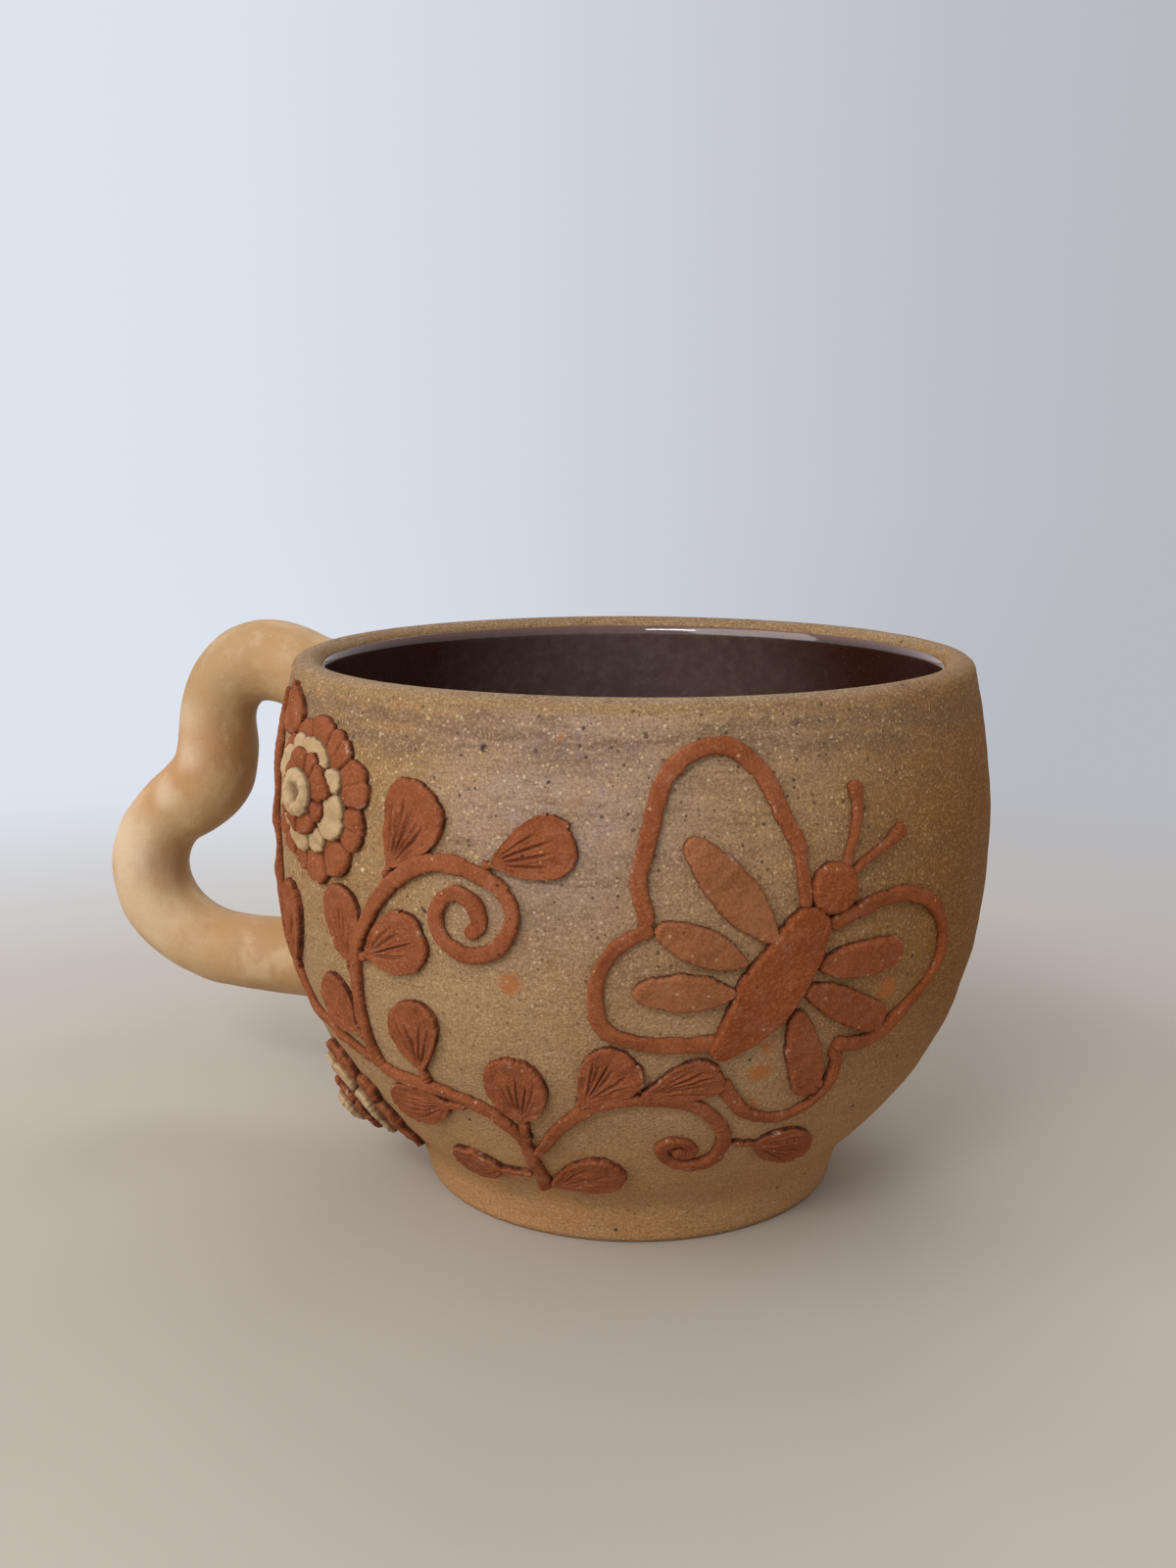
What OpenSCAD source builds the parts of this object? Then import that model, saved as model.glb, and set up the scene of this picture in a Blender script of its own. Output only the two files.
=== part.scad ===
// Stoneware mug with a turned foot, a rolled clay handle in two lobes, a glazed inside
// and an applied relief of thin clay pieces: a butterfly, scrolling vines, leaves and two flowers.
// Origin: centre of the foot where it stands. +Z is up and the handle lies along -X.

/* [Cup] */
// Height of the mug from the table to the crest of the lip
mug_h = 80; // [79:0.5:90]
// Height of the rounded lip above the straight wall
lip_h = 2; // [1.2:0.1:3]
// Outer radius of the wall just under the lip
rim_r = 50.5; // [47:0.1:52]
// Outer radius at the widest part of the belly
belly_r = 53.3; // [52:0.1:58]
// Height of the widest part of the belly
belly_z = 54; // [48:0.5:58]
// Thickness of the wall
wall_t = 4.5; // [3.5:0.1:6]
// Thickness of the floor inside
floor_t = 5.5; // [4:0.1:7]
// How full the bowl is between the foot and the belly, as a power
bowl_fullness = 2.4; // [2:0.05:2.8]
// How round the corner between floor and wall is inside, as a power
floor_roundness = 0.25; // [0.2:0.01:0.35]

/* [Foot] */
// Height of the turned foot
foot_h = 7; // [5:0.1:8]
// Outer radius of the foot where it stands
foot_r = 31.2; // [28:0.1:34]
// Outer radius of the foot where it meets the bowl
neck_r = 33.4; // [31:0.1:36]
// Width of the ring that the mug stands on
foot_ring_w = 6; // [4:0.1:9]
// Depth of the turned recess under the floor
foot_recess = 3; // [1.5:0.1:4]
// Height over which the foot sweeps into the bowl, above and below their meeting line
foot_sweep = 2.5; // [1:0.1:4]
// Bevel at the edges of the standing ring
foot_bevel = 0.8; // [0.3:0.1:1.5]

/* [Glaze] */
// Thickness of the glaze layer inside
glaze_t = 0.4; // [0.25:0.05:0.8]
// Clearance between the glaze and the clay behind it
glaze_gap = 0.05; // [0.02:0.01:0.1]
// Depth of the glaze line below the crest of the lip
glaze_drop = 1.4; // [1:0.1:3]

/* [Handle] */
// Radius of the rolled tube
tube_r = 6.5; // [5:0.1:7.2]
// Farthest reach of the tube's centre line from the mug's axis
handle_reach = 86; // [82:0.5:92]
// Height of the tube's centre line at its top
handle_top_z = 76.1; // [70:0.1:76.5]
// Height of the tube's centre line at its lower end
handle_low_z = 26.6; // [24:0.2:32]
// Clearance between the ends of the tube and the wall
handle_gap = 0.2; // [0.1:0.05:0.3]

/* [Relief] */
// Clearance between the relief and the wall behind it
relief_gap = 0.1; // [0.08:0.01:0.2]
// Clearance between relief pieces that lie side by side
side_gap = 0.3; // [0.2:0.05:0.4]
// Width of a rolled coil
coil_w = 2.2; // [1.8:0.05:2.4]
// Thickness of a coil above the wall
coil_t = 1.3; // [0.9:0.05:1.6]
// Length of a full leaf with its stem
leaf_l = 13; // [11:0.1:13.4]
// Width of a full leaf
leaf_w = 8; // [6.5:0.1:8.4]
// Thickness of a leaf
leaf_t = 1.3; // [0.9:0.05:1.6]
// Width of a leaf's stem where it starts
stem_w = 1.1; // [0.8:0.05:1.4]
// Depth of the veins pressed into a leaf
vein_depth = 0.35; // [0.1:0.05:0.6]

/* [Butterfly] */
// Width that the four wings span
butterfly_w = 50; // [48:0.5:54]
// Distance of the butterfly's centre from the vine's fork, round the wall
butterfly_across = 33.9; // [33:0.1:38]
// Distance of the butterfly's centre from the vine's fork, up the wall
butterfly_up = 29.4; // [29:0.1:32]
// Tilt of the butterfly's body to the right
butterfly_tilt = 31.5; // [25:0.5:36]
// Length of the body
body_l = 21.4; // [18:0.1:22]
// Width of the body
body_w = 8.8; // [7.5:0.1:9]
// Thickness of the body and the head
body_t = 1.6; // [1:0.05:2]
// Radius of the head
head_r = 3.25; // [2.6:0.05:3.4]
// Width of a wing petal
wing_petal_w = 4.8; // [4:0.1:5.2]

/* [Vine] */
// Width of the vine, from its left stem to its right scroll
vine_w = 50; // [49:0.5:52]
// Angle round the mug of the fork where the vine divides
vine_angle = -90; // [-100:1:-80]
// Height of the fork
vine_z = 16.7; // [15.5:0.1:17.5]

/* [Flowers] */
// Radius of the upper flower
upper_flower_r = 11.5; // [9:0.1:11.8]
// Radius of the lower flower
lower_flower_r = 11; // [8:0.1:11.2]
// Thickness of a ring of petals
petal_t = 1; // [0.8:0.05:1.3]
// Clearance between one ring of petals and the next
petal_gap = 0.12; // [0.1:0.01:0.2]
// Thickness of the button in the middle of a flower
button_t = 1.3; // [0.8:0.05:1.6]

/* [Hidden] */
wing_petal_nodes = [
    "upper_left_wing_petal", "middle_left_wing_petal", "lower_left_wing_petal",
    "upper_right_wing_petal", "middle_right_wing_petal", "lower_right_wing_petal"
];
leaf_nodes = [
    "scroll_top_leaf", "scroll_right_leaf", "scroll_inner_leaf", "left_branch_leaf", "fork_leaf",
    "right_branch_first_leaf", "right_branch_second_leaf", "right_scroll_leaf", "foot_right_leaf",
    "foot_left_leaf", "left_branch_under_leaf", "left_stem_leaf", "side_vine_leaf",
    "side_fork_leaf", "rim_leaf"
];
petal_ring_names = ["outer_petals", "middle_petals", "inner_petals"];

buff_clay = [0.70, 0.52, 0.34];
handle_clay = [0.80, 0.60, 0.40];
red_clay = [0.66, 0.33, 0.20];
petal_clay = [0.78, 0.63, 0.45];
brown_glaze = [0.20, 0.10, 0.07];

degrees_per_radian = 180 / PI;
rim_z = mug_h - lip_h;
floor_z = foot_recess + floor_t;
// Small height step for reading the slope of the wall
slope_step = 0.05;
// Least thickness of the bowl's wall, measured level, as a share of the wall's thickness
least_wall_share = 0.6;
// Bands of the turned outer wall and of the inside
wall_bands = 40;
cavity_bands = 26;
// How the heights inside crowd together near the floor, where the bowl turns fastest, as a power
cavity_crowding = 2.2;
// Angle between points round the lip, and sides of the turned pieces
lip_step = 15;
turned_sides = 96;

// Wall

// Outer radius at a height, with a sharp meeting line between foot and bowl
function sharp_wall_r(z) =
    z < foot_h ? foot_r + (neck_r - foot_r) * z / foot_h
    : z < belly_z
        ? neck_r + (belly_r - neck_r) * (1 - pow(1 - (z - foot_h) / (belly_z - foot_h), bowl_fullness))
        : belly_r - (belly_r - rim_r) * pow((z - belly_z) / (rim_z - belly_z), 2);

// Outer radius at a height, with foot and bowl blended by a curve
function wall_r(z) =
    abs(z - foot_h) >= foot_sweep ? sharp_wall_r(z)
    : let (
        t = (z - foot_h + foot_sweep) / (2 * foot_sweep),
        low = sharp_wall_r(foot_h - foot_sweep),
        high = sharp_wall_r(foot_h + foot_sweep)
    )
    pow(1 - t, 2) * low + 2 * t * (1 - t) * neck_r + t * t * high;

// How fast the outer radius grows with height
function wall_slope(z) = (wall_r(z + slope_step) - wall_r(z - slope_step)) / (2 * slope_step);

// Radius of the inside of the bowl at a height, by its own curve
function bowl_r(z) =
    (belly_r - wall_t)
        * pow(1 - pow(1 - (z - floor_z) / (belly_z - floor_z), bowl_fullness), floor_roundness);

// Radius of the inside at a height, where the wall keeps its least thickness
function cavity_r(z) =
    z < belly_z ? min(bowl_r(z), wall_r(z) - wall_t * least_wall_share) : wall_r(z) - wall_t;

// Heights up the wall, and the length of wall run up to each
run_bands = 80;
run_heights = [for (i = [0 : run_bands]) mug_h * i / run_bands];
run_steps = [
    for (i = [1 : len(run_heights) - 1])
        norm([run_heights[i] - run_heights[i - 1], wall_r(run_heights[i]) - wall_r(run_heights[i - 1])])
];
runs = [
    for (i = 0, run = 0; i < len(run_heights); run = run + (i < run_bands ? run_steps[i] : 0), i = i + 1)
        run
];
run_of_height = [for (i = [0 : len(runs) - 1]) [run_heights[i], runs[i]]];
height_of_run = [for (i = [0 : len(runs) - 1]) [runs[i], run_heights[i]]];

// A place on the wall is [angle round the mug, length of wall run up from the table].

// Place that lies a distance across and up the wall from another place
function shift(place, across, up) =
    let (run = place[1] + up)
    [place[0] + across / wall_r(lookup(run, height_of_run)) * degrees_per_radian, run];

// Point in space at a place on the wall, lifted square off it
function on_wall(place, lift) =
    let (
        z = lookup(place[1], height_of_run),
        slope = wall_slope(z),
        square = norm([1, slope]),
        r = wall_r(z) + lift / square
    )
    [r * cos(place[0]), r * sin(place[0]), z - lift * slope / square];

// Unit direction [across, up] from one place to another
function direction(a, b) =
    let (
        middle_r = wall_r(lookup((a[1] + b[1]) / 2, height_of_run)),
        d = [(b[0] - a[0]) / degrees_per_radian * middle_r, b[1] - a[1]]
    )
    d / norm(d);

function heading_direction(heading) = [sin(heading), cos(heading)];

// Smooth curve through a list of points, with some steps between neighbours
function spline(p, steps) = [
    for (i = [0 : len(p) - 2], k = [0 : steps - 1])
        let (
            t = k / steps,
            a = p[max(i - 1, 0)],
            b = p[i],
            c = p[i + 1],
            d = p[min(i + 2, len(p) - 1)]
        )
        (2 * b + (c - a) * t + (2 * a - 5 * b + 4 * c - d) * t * t
            + (3 * b - a - 3 * c + d) * t * t * t) / 2,
    p[len(p) - 1]
];

function middle(points) = [for (c = points) 1] * points / len(points);

// Solids from loops and grids of points

// Closed solid through loops of equally many points, closed by a fan at each end
module skin(loops, first_tip, last_tip) {
    n = len(loops[0]);
    last = len(loops) - 1;
    tip = n * len(loops);
    points = concat([for (loop = loops) each loop], [first_tip, last_tip]);
    sides = [
        for (i = [0 : last - 1], j = [0 : n - 1])
            let (k = (j + 1) % n, a = i * n, b = a + n)
            each [[a + j, b + j, b + k], [a + j, b + k, a + k]]
    ];
    ends = [
        for (j = [0 : n - 1])
            let (k = (j + 1) % n)
            each [[tip, j, k], [tip + 1, last * n + k, last * n + j]]
    ];
    polyhedron(points, concat(sides, ends));
}

// Closed solid between a top and a bottom grid of points
module slab(top, bottom) {
    rows = len(top);
    cols = len(top[0]);
    under = rows * cols;
    points = concat([for (row = top) each row], [for (row = bottom) each row]);
    faces = [
        for (i = [0 : rows - 2], j = [0 : cols - 2])
            let (a = i * cols + j, b = a + cols)
            each [
                [a, b, b + 1], [a, b + 1, a + 1],
                [under + a, under + b + 1, under + b], [under + a, under + a + 1, under + b + 1]
            ]
    ];
    long_sides = [
        for (i = [0 : rows - 2])
            let (a = i * cols, b = a + cols, c = a + cols - 1, d = c + cols)
            each [
                [a, under + b, b], [a, under + a, under + b],
                [c, d, under + d], [c, under + d, under + c]
            ]
    ];
    end_sides = [
        for (j = [0 : cols - 2])
            let (a = j, b = (rows - 1) * cols + j)
            each [
                [a, a + 1, under + a + 1], [a, under + a + 1, under + a],
                [b, under + b + 1, b + 1], [b, under + b, under + b + 1]
            ]
    ];
    polyhedron(points, concat(faces, long_sides, end_sides));
}

// Coils

// Half-round section: [share of the width across, share of the thickness up]
coil_section_shares = [[-0.5, 0], [-0.47, 0.5], [-0.27, 0.9], [0, 1], [0.27, 0.9], [0.47, 0.5], [0.5, 0]];
cap_angles = [72, 48, 24];
coil_steps = 3;

function coil_ring(place, dir, w, t) = [
    for (s = coil_section_shares)
        on_wall(shift(place, s[0] * w * dir[1], -s[0] * w * dir[0]), relief_gap + s[1] * t)
];

// Coil pressed on to the wall along a path of [angle, run, share of the coil's width]
module coil(path) {
    last = len(path) - 1;
    head_dir = direction(path[0], path[1]);
    tail_dir = direction(path[last - 1], path[last]);
    head_w = path[0][2] * coil_w;
    tail_w = path[last][2] * coil_w;
    head_cap = [
        for (a = cap_angles)
            coil_ring(
                shift(path[0], -head_dir[0] * head_w / 2 * sin(a), -head_dir[1] * head_w / 2 * sin(a)),
                head_dir, head_w * cos(a), coil_t * sqrt(cos(a))
            )
    ];
    tail_cap = [
        for (i = [len(cap_angles) - 1 : -1 : 0])
            let (a = cap_angles[i])
            coil_ring(
                shift(path[last], tail_dir[0] * tail_w / 2 * sin(a), tail_dir[1] * tail_w / 2 * sin(a)),
                tail_dir, tail_w * cos(a), coil_t * sqrt(cos(a))
            )
    ];
    run_rings = [
        for (i = [0 : last])
            coil_ring(
                path[i], direction(path[max(i - 1, 0)], path[min(i + 1, last)]),
                path[i][2] * coil_w, coil_t * sqrt(min(path[i][2], 1))
            )
    ];
    loops = concat(head_cap, run_rings, tail_cap);
    skin(loops, middle(head_cap[0]), middle(tail_cap[len(tail_cap) - 1]));
}

// Flat pads of clay

// Columns across a pad: [share of the half width, share of the thickness]
pad_column_shares = [[-1, 0.45], [-0.6, 0.92], [0, 1], [0.6, 0.92], [1, 0.45]];
pad_end_share = 0.6;

// Pad with a straight middle line, its half widths given as shares from one end to the other
module pad(base, dir, length, width, half_width_shares, thickness) {
    last = len(half_width_shares) - 1;
    function spot(i, column) =
        let (
            along = length * i / last,
            across = column[0] * half_width_shares[i] * width / 2
        )
        shift(base, along * dir[0] + across * dir[1], along * dir[1] - across * dir[0]);
    top = [
        for (i = [0 : last])
            let (end = i == 0 || i == last ? pad_end_share : 1)
            [for (c = pad_column_shares) on_wall(spot(i, c), relief_gap + thickness * c[1] * end)]
    ];
    bottom = [for (i = [0 : last]) [for (c = pad_column_shares) on_wall(spot(i, c), relief_gap)]];
    slab(top, bottom);
}

// Leaves

// Stations from the stem to the far edge:
// [share of the way, share of the thickness, share of the vein's depth]
leaf_station_shares = [
    [0, 0.7, 0], [0.3, 0.9, 0.5], [0.55, 1, 1], [0.78, 1, 1], [0.93, 0.9, 0.5], [1, 0.5, 0]
];
// Rays of a leaf to each side of its middle line
leaf_rays = 5;
// Angle round the leaf's outline at which the outermost ray ends, counted from the stem
leaf_side_angle = 92;
// How fast the rays open out from the stem, and how slender the stem end of the outline is, as powers
ray_power = 1.6;
outline_power = 1.5;
outline_peak = 0.7;
edge_share = 0.5;

// Point of a leaf as [along, across], a share of the way along one ray of -leaf_rays to leaf_rays
function leaf_point(share, ray, length, width) =
    let (
        side = ray / leaf_rays,
        around = 180 - abs(side) * (180 - leaf_side_angle),
        far_along = length * (1 - cos(around)) / 2,
        bulge = sin(around) * pow(sin(around / 2), outline_power) / outline_peak,
        far_across = sign(side) * width / 2 * bulge
    )
    [far_along * share, far_across * pow(share, ray_power) + stem_w / 2 * side * (1 - share)];

// Leaf with fanned veins, its stem end at the base place
module leaf(base, heading, length, width) {
    dir = heading_direction(heading);
    function spot(share, ray) =
        let (p = leaf_point(share, ray, length, width))
        shift(base, p[0] * dir[0] + p[1] * dir[1], p[0] * dir[1] - p[1] * dir[0]);
    function rise(station, ray) =
        let (
            outer = abs(ray) == leaf_rays ? edge_share : 1,
            vein = abs(ray) % 2 == 0 && outer == 1 ? vein_depth * station[2] : 0
        )
        leaf_t * station[1] * outer - vein;
    top = [
        for (s = leaf_station_shares)
            [for (ray = [-leaf_rays : leaf_rays]) on_wall(spot(s[0], ray), relief_gap + rise(s, ray))]
    ];
    bottom = [
        for (s = leaf_station_shares)
            [for (ray = [-leaf_rays : leaf_rays]) on_wall(spot(s[0], ray), relief_gap)]
    ];
    slab(top, bottom);
}

// Cup, glaze and handle

// Lip crest from the outer to the inner side
lip_middle_r = rim_r - wall_t / 2;
lip_points = [
    for (a = [lip_step : lip_step : 180 - lip_step])
        [lip_middle_r + wall_t / 2 * cos(a), rim_z + lip_h * sin(a)]
];
wall_points = [
    for (i = [1 : wall_bands])
        let (z = foot_bevel + (rim_z - foot_bevel) * i / wall_bands)
        [wall_r(z), z]
];
cavity_points = [
    for (i = [cavity_bands : -1 : 1])
        let (z = floor_z + (rim_z - floor_z) * pow(i / cavity_bands, cavity_crowding))
        [cavity_r(z), z]
];
recess_r = foot_r - foot_ring_w;

// Offset of the inside profile towards the middle of the cup
function inset(points, i, depth) =
    let (
        a = points[max(i - 1, 0)],
        b = points[min(i + 1, len(points) - 1)],
        d = (b - a) / norm(b - a)
    )
    points[i] + depth * [d[1], -d[0]];

module cup_body() {
    color(buff_clay)
        rotate_extrude($fn = turned_sides)
            polygon(concat(
                [[foot_r - foot_bevel, 0], [wall_r(foot_bevel), foot_bevel]],
                wall_points, lip_points, cavity_points,
                [
                    [0, floor_z], [0, foot_recess], [recess_r - foot_bevel, foot_recess],
                    [recess_r, foot_recess - foot_bevel], [recess_r, foot_bevel], [recess_r + foot_bevel, 0]
                ]
            ));
}

module interior_glaze() {
    skin_points = concat(
        [[cavity_r(mug_h - glaze_drop), mug_h - glaze_drop]],
        [for (p = cavity_points) if (p[1] < mug_h - glaze_drop - glaze_t) p]
    );
    last = len(skin_points) - 1;
    color(brown_glaze)
        rotate_extrude($fn = turned_sides)
            polygon(concat(
                [for (i = [0 : last]) inset(skin_points, i, glaze_gap)],
                [[0, floor_z + glaze_gap], [0, floor_z + glaze_gap + glaze_t]],
                [for (i = [last : -1 : 0]) inset(skin_points, i, glaze_gap + glaze_t)]
            ));
}

// Centre line of the handle:
// [share of the reach beyond the belly, share of the rise, share of the tube's radius]
handle_shares = [
    [0.014, 0.957, 1.03], [0.075, 0.978, 1.03], [0.15, 0.993, 1.03], [0.28, 1, 1.02], [0.41, 0.975, 1],
    [0.505, 0.91, 0.98], [0.555, 0.82, 0.98], [0.565, 0.7, 1], [0.61, 0.6, 1.02], [0.73, 0.525, 1.03],
    [0.845, 0.465, 1], [0.94, 0.385, 1], [0.99, 0.28, 1.02], [0.95, 0.16, 1.03], [0.82, 0.07, 1.02],
    [0.61, 0.01, 1], [0.37, 0, 1], [0.1, 0.005, 1.02]
];
handle_sides = 16;
handle_steps = 2;
// How far the clay is pressed out where the tube meets the wall
root_share = 1.03;

module handle() {
    line = spline(
        [
            for (s = handle_shares)
                [
                    belly_r + s[0] * (handle_reach - belly_r),
                    handle_low_z + s[1] * (handle_top_z - handle_low_z),
                    s[2] * tube_r
                ]
        ],
        handle_steps
    );
    last = len(line) - 1;
    function ring_point(centre, turn, radius, side_angle) =
        [
            -centre[0] + turn[1] * radius * cos(side_angle),
            radius * sin(side_angle),
            centre[1] + turn[0] * radius * cos(side_angle)
        ];
    function tube_ring(i) =
        let (
            a = line[max(i - 1, 0)],
            b = line[min(i + 1, last)],
            d = [b[0] - a[0], b[1] - a[1]],
            turn = d / norm(d)
        )
        [for (j = [0 : handle_sides - 1]) ring_point(line[i], turn, line[i][2], 360 * j / handle_sides)];
    function to_wall(p) =
        let (r = wall_r(p[2]) + handle_gap)
        [-sqrt(r * r - p[1] * p[1]), p[1], p[2]];
    function root_ring(i, share) =
        let (centre = middle(tube_ring(i)))
        [for (p = tube_ring(i)) to_wall(centre + (p - centre) * share)];
    color(handle_clay)
        skin(
            concat(
                [root_ring(0, root_share / 2), root_ring(0, root_share)],
                [for (i = [0 : last]) tube_ring(i)],
                [root_ring(last, root_share), root_ring(last, root_share / 2)]
            ),
            to_wall(middle(tube_ring(0))),
            to_wall(middle(tube_ring(last)))
        );
}

// Butterfly, in its own upright drawing that is then tilted

vine_place = [vine_angle, lookup(vine_z, run_of_height)];
butterfly_place = shift(vine_place, butterfly_across, butterfly_up);

// Place on the wall of a point of the butterfly's drawing
function wing_place(x, y) =
    shift(
        butterfly_place,
        x * cos(butterfly_tilt) + y * sin(butterfly_tilt),
        y * cos(butterfly_tilt) - x * sin(butterfly_tilt)
    );

// Coil paths: [share of the wings' width to the right, share up, share of the coil's width]
upper_left_wing_shares = [
    [-0.072, 0.212, 0.75], [-0.094, 0.252, 0.72], [-0.123, 0.285, 0.75], [-0.15, 0.325, 0.85],
    [-0.208, 0.363, 0.9], [-0.285, 0.414, 1], [-0.353, 0.443, 1], [-0.422, 0.446, 1],
    [-0.482, 0.403, 0.95], [-0.513, 0.333, 0.92], [-0.506, 0.252, 0.95], [-0.476, 0.158, 1],
    [-0.455, 0.078, 1], [-0.431, 0.038, 1], [-0.394, -0.001, 0.95]
];
lower_left_wing_shares = [
    [-0.374, -0.044, 0.9], [-0.396, -0.088, 0.9], [-0.408, -0.14, 0.9], [-0.402, -0.19, 0.92],
    [-0.372, -0.25, 0.95], [-0.327, -0.298, 0.95], [-0.272, -0.309, 0.95], [-0.202, -0.29, 0.95],
    [-0.132, -0.253, 0.95], [-0.088, -0.228, 1]
];
upper_right_wing_shares = [
    [0.054, 0.206, 0.75], [0.093, 0.26, 0.75], [0.133, 0.3, 0.8], [0.181, 0.336, 0.88],
    [0.251, 0.374, 0.9], [0.331, 0.39, 0.85], [0.411, 0.379, 0.8], [0.463, 0.344, 0.75],
    [0.488, 0.289, 0.7], [0.481, 0.219, 0.65], [0.446, 0.144, 0.7], [0.411, 0.074, 0.8],
    [0.379, 0.002, 0.9], [0.341, -0.028, 1], [0.313, -0.044, 1]
];
lower_right_wing_shares = [
    [0.319, -0.086, 0.75], [0.338, -0.135, 0.7], [0.349, -0.19, 0.65], [0.336, -0.25, 0.7],
    [0.298, -0.309, 0.75], [0.238, -0.337, 0.85], [0.168, -0.338, 0.95], [0.098, -0.311, 1],
    [0.066, -0.292, 1]
];
// The antennae rise from the top of the head, and their shares up count from there.
left_antenna_shares = [
    [-0.012, 0.02242, 0.42], [-0.022, 0.06642, 0.42], [-0.04, 0.11442, 0.5], [-0.057, 0.15042, 0.6],
    [-0.068, 0.17242, 0.75]
];
right_antenna_shares = [
    [0.026, 0.01842, 0.42], [0.046, 0.05842, 0.42], [0.073, 0.10242, 0.5], [0.1, 0.13842, 0.6],
    [0.116, 0.15642, 0.75]
];

// Coil in the butterfly's drawing, its shares up counted from a height there
module wing_coil(shares, from = 0) {
    color(red_clay)
        coil(spline(
            [
                for (s = shares)
                    let (p = wing_place(s[0] * butterfly_w, from + s[1] * butterfly_w))
                    [p[0], p[1], s[2]]
            ],
            coil_steps
        ));
}

// Height of the body's top end in the drawing
body_offset_share = 0.015;
body_top = body_l / 2 - body_offset_share * body_l;
head_middle = body_top + side_gap + head_r;
head_top = head_middle + head_r;
body_half_width_shares = [0.32, 0.58, 0.79, 0.94, 1, 1, 0.9, 0.66, 0.28];

// Distance of a wing petal's base from the middle of the body, at a share of the body's length from its top
function body_side(share) =
    body_w / 2 * lookup(
        share * (len(body_half_width_shares) - 1),
        [for (i = [0 : len(body_half_width_shares) - 1]) [i, body_half_width_shares[i]]]
    );

module butterfly_body() {
    color(red_clay)
        pad(
            wing_place(0, body_top), -heading_direction(butterfly_tilt), body_l, body_w,
            body_half_width_shares, body_t
        );
}

head_sides = 20;

module butterfly_head() {
    centre = wing_place(0, head_middle);
    color(red_clay)
        disc(centre, [for (i = [0 : head_sides - 1]) head_r], body_t, 0);
}

// Stages of a disc from the middle of its underside over its edge to the middle of its top:
// [share of the radius, share of the thickness]
disc_stage_shares = [[0.5, 0], [1, 0], [1, 0.5], [0.88, 0.88], [0.55, 1]];

// Round pad with a radius for each direction, resting on a seat above the wall
module disc(centre, radii, thickness, seat) {
    n = len(radii);
    function spot(i, share, lift) =
        on_wall(
            shift(centre, radii[i] * share * cos(360 * i / n), radii[i] * share * sin(360 * i / n)),
            relief_gap + seat + lift
        );
    skin(
        [for (s = disc_stage_shares) [for (i = [0 : n - 1]) spot(i, s[0], s[1] * thickness)]],
        on_wall(centre, relief_gap + seat),
        on_wall(centre, relief_gap + seat + thickness)
    );
}

// Wing petals: [share of the body's length from its top, side, tip's share of the wings' width right, up]
wing_petal_shares = [
    [0.27, -1, -0.385, 0.207],
    [0.44, -1, -0.34, -0.03],
    [0.62, -1, -0.303, -0.188],
    [0.3, 1, 0.288, 0.238],
    [0.43, 1, 0.358, 0.038],
    [0.57, 1, 0.306, -0.204]
];
wing_petal_half_width_shares = [0.2, 0.55, 0.82, 0.96, 1, 0.97, 0.86, 0.66, 0.3];
// Thickness of a wing petal as a share of the body's
wing_petal_t_share = 0.85;

module wing_petal(i) {
    s = wing_petal_shares[i];
    flank = [s[1] * body_side(s[0]), body_top - s[0] * body_l];
    to = [s[2] * butterfly_w, s[3] * butterfly_w];
    lean = abs(to[1] - flank[1]) / norm(to - flank);
    base_reach = wing_petal_half_width_shares[0] * wing_petal_w / 2 * lean;
    from = flank + [s[1] * (base_reach + side_gap), 0];
    base = wing_place(from[0], from[1]);
    tip = wing_place(to[0], to[1]);
    color(red_clay)
        pad(
            base, direction(base, tip), norm(to - from), wing_petal_w,
            wing_petal_half_width_shares, body_t * wing_petal_t_share
        );
}

// Vine

// Vine paths: [share of the vine's width right of the fork, share up, share of the coil's width]
left_vine_shares = [
    [-0.006, -0.155, 0.95], [-0.005, -0.06, 0.9], [-0.024, 0.091, 0.82], [-0.084, 0.176, 0.8],
    [-0.166, 0.213, 0.8], [-0.281, 0.234, 0.8], [-0.39, 0.241, 0.8], [-0.452, 0.27, 0.8],
    [-0.473, 0.37, 0.8], [-0.477, 0.48, 0.82], [-0.462, 0.6, 0.88], [-0.408, 0.715, 0.95],
    [-0.318, 0.817, 1.1], [-0.2, 0.884, 1.15], [-0.075, 0.872, 1.1], [0.005, 0.827, 1],
    [0.024, 0.75, 1], [-0.02, 0.682, 1], [-0.1, 0.66, 1], [-0.168, 0.7, 1],
    [-0.18, 0.765, 1], [-0.133, 0.814, 1], [-0.078, 0.795, 1], [-0.062, 0.748, 1],
    [-0.082, 0.72, 0.95]
];
right_vine_shares = [
    [0.045, 0.07, 0.8], [0.085, 0.14, 0.8], [0.135, 0.195, 0.82], [0.2, 0.245, 0.85],
    [0.298, 0.269, 0.85], [0.39, 0.262, 0.9], [0.46, 0.235, 0.95], [0.506, 0.17, 1],
    [0.512, 0.1, 1], [0.485, 0.026, 1], [0.44, -0.006, 0.95], [0.39, -0.004, 0.9],
    [0.352, 0.026, 0.85], [0.345, 0.072, 0.8], [0.375, 0.1, 0.75], [0.41, 0.088, 0.7]
];
side_vine_shares = [
    [-0.5, 0.262, 0.8], [-0.6, 0.292, 0.8], [-0.7, 0.318, 0.8], [-0.78, 0.345, 0.8],
    [-0.85, 0.4, 0.8], [-0.9, 0.47, 0.85], [-0.935, 0.57, 0.85], [-0.955, 0.68, 0.85],
    [-0.97, 0.8, 0.85], [-0.98, 0.93, 0.85], [-0.975, 1.05, 0.85], [-0.96, 1.15, 0.85],
    [-0.945, 1.23, 0.75]
];

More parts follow.
